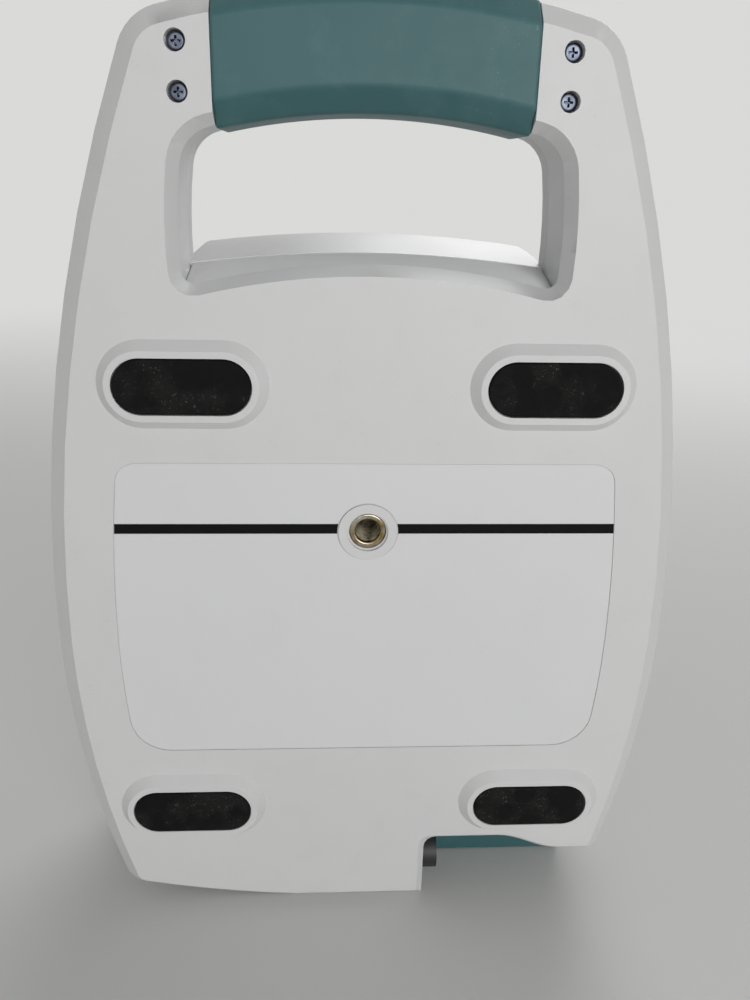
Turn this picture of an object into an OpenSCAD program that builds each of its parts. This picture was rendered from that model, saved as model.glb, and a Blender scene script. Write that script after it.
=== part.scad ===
// Hand-carried bladder scanner console, standing on its bottom end.
// The pieces are drawn lying on their feet: x to the right as the user faces the display,
// y from the bottom end to the handle, z from the feet to the display.
// The last module stands them up: y becomes the height Z, and the display faces -Y.

/* [Body outline] */
// Length from the bottom end to the top of the handle
body_len = 303; // [290:1:320]
// Greatest width of the body
body_w = 200.8; // [190:0.2:212]
// Height of the widest point above the bottom end
widest_y = 112; // [100:1:125]
// Radius of the long side below the widest point
low_side_r = 345; // [320:5:380]
// Radius of the long side above the widest point
high_side_r = 479; // [450:1:520]
// Radius of the bottom edge
bottom_r = 375; // [320:5:450]
// How much of that edge is cut flat to stand on
bottom_sag = 0.8; // [0.5:0.1:1.2]
// Radius of the top edge over the handle
top_r = 225; // [210:5:260]
// Radius of the two upper corners
top_corner_r = 15; // [11:1:20]
// Radius of the two lower corners
low_corner_r = 9; // [8:1:12]

/* [Body depth] */
// Height of the raised foot pads over the rear plate, with the rubber
foot_stand = 4; // [3:0.5:6]
// Bevel round the rear plate, measured across it
bevel_run = 5.3; // [4:0.1:6.5]
// Depth of that bevel
bevel_rise = 5; // [4:0.5:6]
// Height of the parting plane between the two covers
part_z = 30; // [28:1:33]
// Height of the front face
face_z = 84; // [83:1:88]
// Thickness of the handle's front half over the parting plane
lid_t = 10; // [9:0.5:11]
// Moulded wall
wall = 2.5; // [2:0.1:2.8]

/* [Handle opening] */
// Half width of the finger opening
open_half = 54.4; // [51:0.2:57]
// Clear height of the opening in the middle
finger_gap = 40.3; // [37:0.1:44]
// Height of the handle's bar over the opening
handle_h = 31; // [28:0.5:36]
// Radius of the arched lower edge
open_bottom_r = 210; // [190:5:240]
// Radius of the bowed sides
open_side_r = 150; // [120:5:200]
// Radius of the upper corners
open_top_corner_r = 11; // [8:1:13]
// Radius of the lower corners
open_low_corner_r = 3.5; // [2.5:0.5:5]
// Bevel round the opening, measured across it
open_bevel = 3; // [2:0.2:4]

/* [Grip] */
// Width of the grip on the handle
grip_w = 86; // [80:1:90]
// Thickness of the grip's skin
grip_t = 2.2; // [1.8:0.1:2.6]
// How far the grip stands proud of the covers
grip_proud = 0.6; // [0.4:0.1:1]

/* [Front housing] */
// How far the housing's crest stands over the opening's lower edge
crest_over = 5.2; // [4.4:0.1:6]
// Radius of the crest across the width
crest_r = 400; // [350:10:500]
// Distance from the middle to the centre of each sloping shoulder
shoulder_x = 69; // [66:1:72]
// Distance of the shoulders' centres under the crest
shoulder_drop = 17.4; // [15:0.2:19]

/* [Feet and label] */
// Length of a rubber foot
foot_w = 40; // [36:1:44]
// Width of a rubber foot
foot_h = 16.2; // [14:0.2:18]
// Half spacing of the upper feet
foot_top_x = 54.7; // [52:0.1:57]
// Distance of the upper feet under the handle opening
foot_top_drop = 34.6; // [32:0.1:40]
// Half spacing of the lower feet
foot_low_x = 59.4; // [57:0.1:62]
// Height of the lower feet
foot_low_y = 46.2; // [44:0.1:50]
// Upper edge of the label
label_top_y = 173.1; // [170:0.1:178]
// Lower edge of the label
label_low_y = 69.4; // [66:0.1:74]
// Distance of the label's sides from the body's widest edge
label_inset = 20.1; // [18:0.1:24]

/* [Stand insert] */
// Height of the threaded insert
insert_y = 150.6; // [146:0.2:154]
// Bore radius of the insert
insert_bore_r = 3.35; // [3:0.05:3.6]
// Length of the insert
insert_len = 14; // [10:1:18]

/* [Probe cradle] */
// Distance of the cradle's axis from the middle
cradle_x = 55.5; // [55:0.1:56]
// Radius of the cradle's trough
cradle_r = 21.5; // [20:0.1:21.8]
// Height of the trough's axis
cradle_z = 58; // [57:0.5:60]
// Length of the straight trough
cradle_len = 146; // [138:1:148]

/* [Probe socket] */
// Side wall of the notch, from the middle
notch_x = 22.9; // [22:0.1:24]
// Height of the socket's axis
socket_y = 12.5; // [12:0.1:13]
// Depth place of the socket's axis
socket_z = 18; // [17:0.5:19]
// Outer radius of the socket
socket_r = 6.9; // [6.5:0.1:7.2]
// Bore radius of the socket
socket_bore_r = 5.2; // [4.8:0.1:5.4]

/* [Display and keys] */
// Middle of the display, from the middle of the body
display_x = 31; // [30:0.5:31.5]
// Gap between the display's frame and the printer's door
display_drop = 8.5; // [8:0.1:10]
// Width of the display's frame
display_w = 104; // [100:1:105]
// Height of the display's frame
display_h = 92; // [86:1:92]
// Spacing of the four soft keys
key_pitch = 24; // [22:0.5:25]
// Distance of the row of soft keys under the display's frame
key_drop = 18; // [17:0.5:20]
// Length of a soft key
key_w = 19; // [17:0.5:20]
// Width of a soft key
key_h = 10; // [9:0.5:11]
// Travel of a key
key_travel = 0.8; // [0.6:0.1:0.9]
// Radius of the power key
power_r = 6.5; // [6:0.5:7.5]

/* [Printer] */
// Half width of the printer's door
door_half = 36; // [35:0.5:37]
// Length of the door from its free edge to its hinge
door_len = 37; // [36.5:0.1:38]
// Distance of the hinge under the crest
hinge_drop = 15.4; // [15:0.1:16]
// Radius of the hinge pin
hinge_pin_r = 1.5; // [1.3:0.1:1.6]
// Radius of the paper roll
roll_r = 17; // [15:0.5:17]
// Width of the paper roll
roll_w = 57; // [56:0.5:57.5]
// Radius of the platen roller
platen_r = 4; // [3.6:0.1:4.2]

/* [Battery] */
// Length of the battery pack
battery_len = 72; // [60:1:74]
// Width of the battery pack
battery_w = 40; // [36:1:42]
// Thickness of the battery pack
battery_t = 19; // [16:0.5:20]

/* [Hidden] */
$fn = 48;

// One overrun for every cut, past the surface that it opens
over = 1;
// Gap between pieces that must not touch, the gap of a close fit, and the running fit of a shaft
gap = 0.3;
least_gap = 0.1;
running = 0.06;
// Smallest radius that a drawn-in corner keeps, and the smallest width that still counts
least_r = 1.5;
least = 0.0001;

half_w = body_w / 2;
// Heights, from the top of the handle downwards
open_top_y = body_len - handle_h;
open_bottom_y = open_top_y - finger_gap;
crest_y = open_bottom_y + crest_over;
shoulder_y = crest_y - shoulder_drop;
foot_top_y = open_bottom_y - foot_top_drop;
hinge_y = crest_y - hinge_drop;
door_low_y = hinge_y - door_len;
display_y = door_low_y - display_drop - display_h / 2;
key_y = display_y - display_h / 2 - key_drop;

plate_z = foot_stand;
edge_z = plate_z + bevel_rise;
lid_z = part_z + lid_t;
plate_in_z = plate_z + wall;
face_in_z = face_z - wall;

// Centres of the arcs that make up the outline
low_c = [half_w - low_side_r, widest_y];
high_c = [half_w - high_side_r, widest_y];
top_c = [0, body_len - top_r];
bottom_c = [0, bottom_r - bottom_sag];

// Bevelled inner wall of a cover: its inset at the inner face, and where the bevel ends
bevel_len = norm([bevel_run, bevel_rise]);
inner_inset = bevel_run * (1 - wall / bevel_rise) + wall * bevel_len / bevel_rise;
inner_rise = bevel_rise / bevel_run * (bevel_run + wall * bevel_len / bevel_rise - wall);

// Opening: widest place over its lower crest, and how far its walls open towards the front
open_wide_rise = 5.3;
open_wide_y = open_bottom_y + open_wide_rise;
open_draft = 0.6;

// Front housing: soft bow of the shoulders, the radius of their ends, its bevel and the fall of its crest.
// Its sections as shares: height over the parting plane, side inset, crest drop, bottom inset
shoulder_r = 300;
shoulder_corner_r = 6;
house_bevel = 7.5;
crest_drop = 12.4;
house_shares = [[0, 0, 0.31, 0], [0.3, 0.08, 0.1, 0], [0.57, 0.16, 0, 0],
    [0.78, 0.24, 0.15, 0], [0.91, 0.48, 0.48, 0.2], [1, 1, 1, 0.8]];

// Grip: how far it hangs under the white wall of the opening, and the width of its bevels
grip_under = 1;
grip_bevel = 6.4;

// Label: corners, depth of its recess and its own thickness
label_top_corner_r = 6.7;
label_low_corner_r = 13.3;
label_sink = 0.4;
label_t = 0.2;

// Screws: shank and hole radius, head radius and height, radius of their posts
shank_r = 1.45;
hole_r = 1.5;
head_r = 2.5;
head_h = 2.2;
post_r = 4.5;
small_post_r = 3.5;
// Depth of a tapped hole, and how far a screw reaches past its board
screw_hold = 9;
board_screw_len = 6;
// Handle screws: how far beyond the grip, their heights as shares of the handle, recess and sink
handle_screw_out = 8.9;
handle_screw_x = grip_w / 2 + handle_screw_out;
handle_screw_shares = [0.094, 0.481];
handle_screw_ys = [for (s = handle_screw_shares) open_top_y + s * (body_len - open_top_y)];
recess_r = 2.75;
head_sink = 2;
handle_seat_z = plate_z + head_sink + head_h;

// Feet: rim of the raised pad round the rubber, slope of its flanks, rubber over the rim
pad_rim = 2.3;
pad_slope = 2.8;
rubber_proud = 0.6;
rubber_t = 2.2;
rubber_chamfer = 0.5;
// Screws under the rubber feet: the lower left one holds the cradle, the lower right one sits further out
base_screw_out = 16;
base_screws_at = [[-foot_top_x, foot_top_y], [foot_top_x, foot_top_y],
    [foot_low_x + base_screw_out, foot_low_y]];
cradle_screw_at = [-cradle_x, foot_low_y];
all_base_screws = concat(base_screws_at, [cradle_screw_at]);

// Stand insert: metal radius, counterbore, boss ring, how far it stands over the plate, chamfer of its mouth
insert_r = 5.85;
counter_r = 6.45;
boss_r = 9.3;
boss_proud = 0.5;
insert_sink = 1.1;
insert_z = plate_z - boss_proud + insert_sink;
insert_chamfer = 0.4;

// Notch: its high and low edge, where it dips, its inner corner and the bevel of its rim
notch_high_y = 28.4;
notch_low_y = 22.3;
notch_dip_x = [50, 73];
notch_corner_r = 4.5;
notch_bevel = 2.2;

// Cradle: wall, skirt seen through the notch, rim on the front face, how far it reaches past the cover
cradle_wall = 2.5;
cradle_out_r = cradle_r + cradle_wall;
skirt_half = 25.5;
skirt_h = 32;
skirt_z = part_z + gap;
cradle_low_y = 0.6;
cradle_reach = 8;
rim_w = 3;
rim_proud = 0.8;
// Seat of the screws under the feet, and how far they hold past the parting plane
base_seat_z = rubber_t + 2 * gap + head_h;
base_hold = cradle_z - cradle_r - cradle_wall / 2 - part_z;

// Socket: how far it stands out, how far it reaches in, its neck, the nut and the contact block
socket_out = 6;
socket_in = 11;
socket_neck_r = 6;
nut_r = 9;
nut_t = 3.5;
contact_t = 4;
contact_n = 7;
contact_block_r = 4.4;
contact_ring_r = 2.8;
contact_r = 0.6;

// Display: flange behind the cover, frame, window in the frame, lens and panel
bezel_flange = 2;
bezel_back = 2;
bezel_proud = 0.8;
bezel_corner_r = 5;
bezel_slope = 1.6;
lens_rim = 5;
lens_edge = 4;
lens_t = 1.6;
lens_corner_r = 2.5;
lens_z = face_z + bezel_proud - lens_t - gap;
panel_edge = 3;
panel_t = 6;

// Keys: how far they stand out, flange, stem and the switches under them
key_proud = 1.2;
key_chamfer = 0.5;
key_rim = 1.2;
key_flange_t = 1.2;
key_under_z = face_in_z - gap - key_flange_t;
key_stem_len = 1.1;
key_stem_z = key_under_z - key_stem_len;
stem_r = 2;
switch_r = 3;
switch_h = 1.4;
switch_z = key_stem_z - key_travel - least_gap;
power_right = 31;
power_drop = 25;
power_x = display_x + power_right;
power_y = key_y - power_drop;
total_depth = face_z + key_proud;
// Board behind the keys: margins round the outer switches, and its screws as shares of it
pcb_t = 1.6;
key_board_z = switch_z - switch_h - pcb_t;
key_board_left = 15;
key_board_right = 4;
key_board_edge = 10;
key_board_x = [display_x - 1.5 * key_pitch - key_board_left, display_x + 1.5 * key_pitch + key_board_right];
key_board_y = [power_y - key_board_edge, key_y + key_board_edge];
key_screw_shares = [[0.055, 0.467], [0.68, 0.333], [0.945, 0.522]];
key_screws_at = [for (s = key_screw_shares) [key_board_x[0] + s.x * (key_board_x[1] - key_board_x[0]),
    key_board_y[0] + s.y * (key_board_y[1] - key_board_y[0])]];
key_screw_len = 5;
// Loudspeaker and its grille
speaker_left = 13;
speaker_x = display_x - speaker_left;
speaker_r = 9;
speaker_t = 3.6;
grille_r = 0.9;
grille_pitch = 3.6;
// Window in the bottom end
window_x = 11;
window_w = 16;
window_h = 7;
window_rise = 10;
window_z = part_z + window_rise;

// Printer frame: how far it reaches past the door's two edges, and the paper slot
frame_low_lip = 1.8;
frame_high_lip = 2.5;
slot_w = 1.1;
frame_y = [door_low_y - slot_w - frame_low_lip, hinge_y + frame_high_lip];

// Chassis plate: its size, its middle, height over the parting plane, insets of its screws
chassis_w = 92;
chassis_h = 140;
chassis_left = 11;
chassis_gap = 7.6;
chassis_at = [display_x - chassis_left, frame_y[0] - chassis_gap - chassis_h / 2];
chassis_rise = 2;
chassis_z = part_z + chassis_rise;
chassis_t = 1.2;
chassis_inset = 7;
chassis_x = [chassis_at.x - chassis_w / 2, chassis_at.x + chassis_w / 2];
chassis_y = [chassis_at.y - chassis_h / 2, chassis_at.y + chassis_h / 2];
chassis_screw_x = [chassis_x[0] + chassis_inset, chassis_x[1] - chassis_inset];
chassis_screw_y = [chassis_y[0] + chassis_inset, chassis_y[1] - chassis_inset];
cable_hole_r = 5;
// Main board on its standoffs, flush with the chassis plate's upper edge.
// Chips as shares of the board and of the tallest one: left, low, width, length, height
main_h = 112;
main_rise = 28;
main_z = chassis_z + main_rise;
main_y = [chassis_y[1] - main_h, chassis_y[1]];
standoff_r = 2.8;
standoff_inset = 5;
standoff_drop = 20;
main_screw_x = [chassis_x[0] + standoff_inset, chassis_x[1] - standoff_inset];
main_screw_y = [main_y[0] + standoff_inset, main_y[1] - standoff_drop];
main_chip_h = 6;
main_chip_shares = [[0.26, 0.23, 0.24, 0.2, 0.4], [0.65, 0.25, 0.15, 0.12, 0.3],
    [0.09, 0.2, 0.09, 0.27, 0.8],
    [0.55, 0.8, 0.22, 0.07, 1], [0.15, 0.78, 0.26, 0.09, 0.8], [0.67, 0.48, 0.17, 0.07, 0.35],
    [0.41, 0.57, 0.11, 0.09, 0.5]];
cap_n = 4;
cap_r = 3.2;
cap_h = 8;
cap_pitch = 12;
cap_shares = [0.2, 0.1];
// Scanner board between the rear cover and the chassis plate
scan_low = 11;
scan_at = [chassis_at.x, chassis_at.y - scan_low];
scan_w = 70;
scan_h = 82;
scan_rise = 13.5;
scan_z = plate_in_z + scan_rise;
scan_screw_inset = 5;
scan_x = [scan_at.x - scan_w / 2, scan_at.x + scan_w / 2];
scan_y = [scan_at.y - scan_h / 2, scan_at.y + scan_h / 2];
scan_posts_x = [scan_x[0] + scan_screw_inset, scan_x[1] - scan_screw_inset];
scan_posts_y = [scan_y[0] + scan_screw_inset, scan_y[1] - scan_screw_inset];
scan_chip_h = 4;
scan_chip_shares = [[0.14, 0.17, 0.29, 0.24, 0.5], [0.54, 0.22, 0.17, 0.15, 0.4],
    [0.54, 0.49, 0.17, 0.15, 0.4], [0.2, 0.63, 0.43, 0.1, 1]];

// Battery: how deep it sits in the flank, its finger scoop, the sleeve round it and the blades behind it
battery_sink = 0.6;
battery_y = chassis_at.y;
sleeve_wall = 1.6;
sleeve_back = 4;
battery_z = chassis_z + chassis_t + sleeve_wall + gap;
battery_x = half_w - battery_sink - battery_len;
pull_r = 9;
pull_depth = 3;
blade_n = 5;
blade_pitch = 6;
blade_t = 1;

// Printer frame: plates beside the roll, and its foot
roll_side = 3;
plate_x = roll_w / 2 + roll_side;
plate_t = 2;
frame_rise = 6;
frame_z = part_z + frame_rise;
frame_drop = 7;
frame_top_z = face_z - frame_drop;
// Hinge: how deep it lies under the face, its ears and the door's barrel
hinge_sink = 3.4;
hinge_z = face_z - hinge_sink;
ear_r = 3.2;
barrel_r = 3.1;
door_notch_y = hinge_y - ear_r - 2 * gap;
// Cheeks under the door that carry the platen
cheek_t = 1.6;
cheek_x = plate_x - gap - cheek_t;
door_t = wall;
// Finger ribs at the door's free edge
rib_n = 4;
rib_pitch = 2.6;
rib_w = 1.1;
rib_h = 0.8;
rib_half = 16;
rib_in = 3.4;
platen_in = 5.5;
platen_drop = 7.2;
platen_y = door_low_y + platen_in;
platen_z = face_z - platen_drop;
platen_shaft_r = 1.5;
platen_half = cheek_x - 2 * gap;
// Paper roll on its spindle, in the bucket
roll_y = (door_low_y + hinge_y) / 2;
bucket_gap = 1.4;
bucket_t = 1.6;
roll_z = frame_z + bucket_t + bucket_gap + roll_r;
core_r = 6.2;
spindle_end_r = 3;
spindle_past = 1;
// Bar of the print head
head_bar_t = 2;
head_bar_h = 16.8;
head_bar_rise = 2;
head_past = 1;
// Tabs that the frame is screwed down by
tab_w = 7;
tab_x = plate_x + plate_t + tab_w / 2;
tab_reach = 12;
tab_ys = [roll_y - tab_reach, roll_y + tab_reach];
// Tear bar
tear_teeth = 24;
tear_t = 0.8;
tear_w = 2.4;
tear_tooth = 1;
tear_past = 1;
// Button that frees the door, beside it
button_out = 7.2;
button_drop = 6;
button_x = door_half + button_out;
button_y = roll_y - button_drop;
button_r = 5;
button_proud = 1;
// Paper feed motor on the frame's right plate
motor_low = 7;
motor_up = 2;
motor_y = roll_y - motor_low;
motor_z = roll_z + motor_up;
motor_r = 8;
motor_len = 14;
motor_cap = 1;

// Colours of the pieces
shell_colour = [0.91, 0.905, 0.88];
teal_colour = [0.36, 0.56, 0.57];
rubber_colour = [0.1, 0.1, 0.1];
label_colour = [0.93, 0.93, 0.92];
steel_colour = [0.7, 0.71, 0.72];
screw_colour = [0.6, 0.62, 0.68];
brass_colour = [0.8, 0.65, 0.35];
dark_colour = [0.15, 0.15, 0.16];
contact_colour = [0.3, 0.27, 0.2];
bezel_colour = [0.3, 0.32, 0.34];
lens_colour = [0.2, 0.25, 0.28];
key_colour = [0.75, 0.78, 0.78];
board_colour = [0.1, 0.42, 0.25];
battery_colour = [0.82, 0.82, 0.8];
frame_colour = [0.35, 0.36, 0.38];
head_colour = [0.55, 0.45, 0.35];
paper_colour = [0.97, 0.97, 0.95];

function dir(c, p) = atan2(p.y - c.y, p.x - c.x);
// Points of an arc without its last one, where the next arc starts
function arc(c, r, a, b, n)
    = [for (i = [0:n - 1]) c + r * [cos(a + (b - a) * i / n), sin(a + (b - a) * i / n)]];
// Crossing of two circles: s is 1 for the one left of the line from c1 to c2, -1 for the right
function meet(c1, r1, c2, r2, s) =
    let (d = norm(c2 - c1), u = (c2 - c1) / d, a = (r1 * r1 - r2 * r2 + d * d) / (2 * d),
         h = sqrt(max(0, r1 * r1 - a * a)))
    c1 + u * a + s * h * [-u.y, u.x];
// A closed outline from its right half, drawn from the bottom middle to the top middle
function mirrored(right) =
    concat(right, [for (i = [len(right) - 1:-1:0]) if (right[i].x > least) [-right[i].x, right[i].y]]);
function shrink(r, d) = max(least_r, r - d);
// The outline's lower right part: bottom edge, corner and side up to the widest point
function low_right(ds, db) =
    let (rl = low_side_r - ds, rbo = bottom_r - db, rb = shrink(low_corner_r, ds),
         pb = meet(low_c, rl - rb, bottom_c, rbo - rb, -1),
         flat_x = sqrt(rbo * rbo - (bottom_c.y - db) * (bottom_c.y - db)))
    concat(arc(bottom_c, rbo, dir(bottom_c, [flat_x, db]), dir(bottom_c, pb), 5),
        arc(pb, rb, dir(bottom_c, pb), dir(low_c, pb), 4),
        arc(low_c, rl, dir(low_c, pb), 0, 6));
// The body's outline, drawn in by d
function body_ring(d) =
    let (rt = shrink(top_corner_r, d), rh = high_side_r - d, rto = top_r - d,
         pt = meet(high_c, rh - rt, top_c, rto - rt, 1))
    mirrored(concat(low_right(d, d),
        arc(high_c, rh, 0, dir(high_c, pt), 8),
        arc(pt, rt, dir(high_c, pt), dir(top_c, pt), 6),
        arc(top_c, rto, dir(top_c, pt), 90, 6), [[0, top_c.y + rto]]));
// The opening's outline, let out by e
function open_ring(e) =
    let (cs = [open_half - open_side_r, open_wide_y], rs = open_side_r + e,
         cb = [0, open_bottom_y - open_bottom_r], rb = open_bottom_r - e,
         rt = open_top_y - top_c.y + e, rl = open_low_corner_r + e, ru = open_top_corner_r + e,
         pl = meet(cs, rs - rl, cb, rb + rl, 1), pu = meet(cs, rs - ru, top_c, rt - ru, 1))
    mirrored(concat(arc(cb, rb, 90, dir(cb, pl), 6),
        arc(pl, rl, dir(cb, pl) - 180, dir(cs, pl), 4),
        arc(cs, rs, dir(cs, pl), dir(cs, pu), 4),
        arc(pu, ru, dir(cs, pu), dir(top_c, pu), 6),
        arc(top_c, rt, dir(top_c, pu), 90, 6), [[0, top_c.y + rt]]));
// The front housing's outline, drawn in by ds at the sides, dt at the crest and db at the bottom
function house_ring(ds, dt, db) =
    let (rh = high_side_r - ds, r1 = shrink(shoulder_corner_r, ds),
         m = [shoulder_x, shoulder_y] - (ds + dt) / 2 * [cos(45), sin(45)],
         csh = m - shoulder_r * [cos(45), sin(45)],
         ct = [0, crest_y - dt - crest_r],
         p1 = meet(high_c, rh - r1, csh, shoulder_r - r1, 1),
             p2 = meet(csh, shoulder_r - r1, ct, crest_r - r1, 1))
    mirrored(concat(low_right(ds, db),
        arc(high_c, rh, 0, dir(high_c, p1), 6),
        arc(p1, r1, dir(high_c, p1), dir(csh, p1), 3),
        arc(csh, shoulder_r, dir(csh, p1), dir(csh, p2), 3),
        arc(p2, r1, dir(csh, p2), dir(ct, p2), 3),
        arc(ct, crest_r, dir(ct, p2), 90, 6), [[0, ct.y + crest_r]]));
// The label's outline, drawn in by e: sides parallel to the body's, straight top and bottom
function label_ring(e) =
    let (d = label_inset + e, rh = high_side_r - d, rl = low_side_r - d,
         rt = label_top_corner_r - e, rb = label_low_corner_r - e,
         ty = label_top_y - e - rt, by = label_low_y + e + rb,
         pt = [high_c.x + sqrt((rh - rt) * (rh - rt) - (ty - high_c.y) * (ty - high_c.y)), ty],
         pb = [low_c.x + sqrt((rl - rb) * (rl - rb) - (by - low_c.y) * (by - low_c.y)), by])
    mirrored(concat([[0, label_low_y + e]], arc(pb, rb, -90, dir(low_c, pb), 6),
        arc(low_c, rl, dir(low_c, pb), 0, 3), arc(high_c, rh, 0, dir(high_c, pt), 4),
        arc(pt, rt, dir(high_c, pt), 90, 6), [[pt.x, pt.y + rt], [0, label_top_y - e]]));

// A solid through rings of equally many points; each layer is [height, ring]
module loft(layers) {
    n = len(layers[0][1]);
    m = len(layers);
    points = [for (l = layers) for (p = l[1]) [p.x, p.y, l[0]]];
    sides = [for (k = [0:m - 2]) for (i = [0:n - 1]) let (j = (i + 1) % n)
        each [[k * n + i, (k + 1) * n + i, (k + 1) * n + j], [k * n + i, (k + 1) * n + j, k * n + j]]];
    polyhedron(points,
        concat([[for (i = [0:n - 1]) i]], sides, [[for (i = [n - 1:-1:0]) (m - 1) * n + i]]));
}
// A box from its lower to its upper corner
module box(a, b) {
    translate(a) cube(b - a);
}
// A cylinder along z between two heights
module rod(x, y, z1, z2, r) {
    translate([x, y, z1]) cylinder(h = z2 - z1, r = r);
}
// A cylinder along x between two places
module cross_rod(y, z, x1, x2, r) {
    translate([x1, y, z]) rotate([0, 90, 0]) cylinder(h = x2 - x1, r = r);
}
// A bar with round ends, w long and h wide over all
module stadium(x, y, z1, z2, w, h) {
    for (s = [-1, 1]) rod(x + s * (w - h) / 2, y, z1, z2, h / 2);
    box([x - (w - h) / 2, y - h / 2, z1], [x + (w - h) / 2, y + h / 2, z2]);
}
// The same bar with sloping flanks, h1 wide at z1 and h2 wide at z2
module stadium_slope(x, y, z1, z2, w, h1, h2) {
    for (s = [-1, 1]) translate([x + s * w / 2, y, z1]) cylinder(h = z2 - z1, r1 = h1 / 2, r2 = h2 / 2);
    translate([x - w / 2, y, z1]) rotate([90, 0, 90])
        linear_extrude(w) polygon([[-h1 / 2, 0], [h1 / 2, 0], [h2 / 2, z2 - z1], [-h2 / 2, z2 - z1]]);
}
// Stands a piece drawn on its feet up on the bottom end
module upright() {
    translate([0, total_depth / 2, 0]) rotate([90, 0, 0]) children();
}

// Outline of the notch beside the socket, let out by e
function notch_ring(e) =
    let (x = notch_x - e, r = notch_corner_r, cx = -x - r, cy = notch_high_y + e - r, n = 8)
    concat([[-half_w - over, -over], [-x, -over]],
        [for (i = [0:4]) [cx + r * cos(90 * i / 4), cy + r * sin(90 * i / 4)]],
        [for (i = [0:n]) [-notch_dip_x[0] - (notch_dip_x[1] - notch_dip_x[0]) * i / n,
            notch_high_y + e + (notch_low_y - notch_high_y) * (1 - cos(180 * i / n)) / 2]],
        [[-half_w - over, notch_low_y + e]]);
// Height of the grip's underside at its two ends
grip_low_y = top_c.y + sqrt(pow(open_top_y - top_c.y - grip_under, 2) - grip_w * grip_w / 4) - over;
// The stretch of the handle that the grip covers
module bar_zone(z1, z2) {
    box([-grip_w / 2 - wall, grip_low_y - wall, z1], [grip_w / 2 + wall, body_len + 3 * over, z2]);
}
// Section of the handle under the grip, drawn in by o from the grip's outer skin: radius and height.
// z0 is the parting plane, z1 the edge of the bevel and z2 the flat face
function bar_section(o, z0, z1, z2) =
    let (s = sign(z2 - z1), rt = top_r + grip_proud - o, rl = open_top_y - top_c.y - grip_under + o,
         k = o * tan(22.5), zf = z2 + s * (grip_proud - o), ze = z1 - s * k, b = grip_bevel + k)
    [[rl, z0], [rt, z0], [rt, ze], [rt - b, zf], [rl + b, zf], [rl, ze]];
module bar(o, w, z0, z1, z2) {
    span = asin((w / 2 + over) / (open_top_y - top_c.y - 3 * wall));
    intersection() {
        translate(top_c) rotate([0, 0, 90 - span])
            rotate_extrude(angle = 2 * span, $fn = 180) polygon(bar_section(o, z0, z1, z2));
        box([-w / 2, top_c.y, min(z0, z2) - over], [w / 2, body_len + 3 * over, max(z0, z2) + over]);
    }
}
// What the grip takes away from a cover: the handle's stretch without the bar inside it
module grip_room(z0, z1, z2) {
    s = sign(z2 - z1);
    difference() {
        box([-grip_w / 2, grip_low_y, min(z0, z2) - over],
            [grip_w / 2, body_len + 3 * over, max(z0, z2) + over]);
        bar(grip_t, grip_w + 2 * over, z0 - s * 2 * over, z1, z2);
    }
}
module grip_half(z0, z1, z2) {
    s = sign(z2 - z1);
    difference() {
        bar(0, grip_w - least_gap, z0, z1, z2);
        bar(grip_t, grip_w + 2 * over, z0 - s * over, z1, z2);
    }
}

module rear_form() {
    loft([[plate_z, body_ring(bevel_run)], [edge_z, body_ring(0)], [part_z, body_ring(0)]]);
}
module rear_cavity() {
    difference() {
        loft([[plate_in_z, body_ring(inner_inset)], [plate_z + inner_rise, body_ring(wall)],
            [part_z + over, body_ring(wall)]]);
        loft([[plate_z, open_ring(open_bevel + wall)], [edge_z, open_ring(wall)],
            [part_z + 2 * over, open_ring(wall + open_draft)]]);
        bar_zone(plate_z, part_z + 2 * over);
        translate([0, 0, plate_z]) linear_extrude(part_z) polygon(notch_ring(wall));
    }
}
module foot_pad(x, y) {
    top = foot_h + 2 * pad_rim;
    stadium_slope(x, y, rubber_proud, plate_z + wall / 2, foot_w - foot_h,
        top, top + 2 * pad_slope * (plate_z + wall / 2 - rubber_proud) / (plate_z - rubber_proud));
}
module feet_at() {
    for (s = [-1, 1]) {
        translate([s * foot_top_x, foot_top_y, 0]) children();
        translate([s * foot_low_x, foot_low_y, 0]) children();
    }
}
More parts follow.
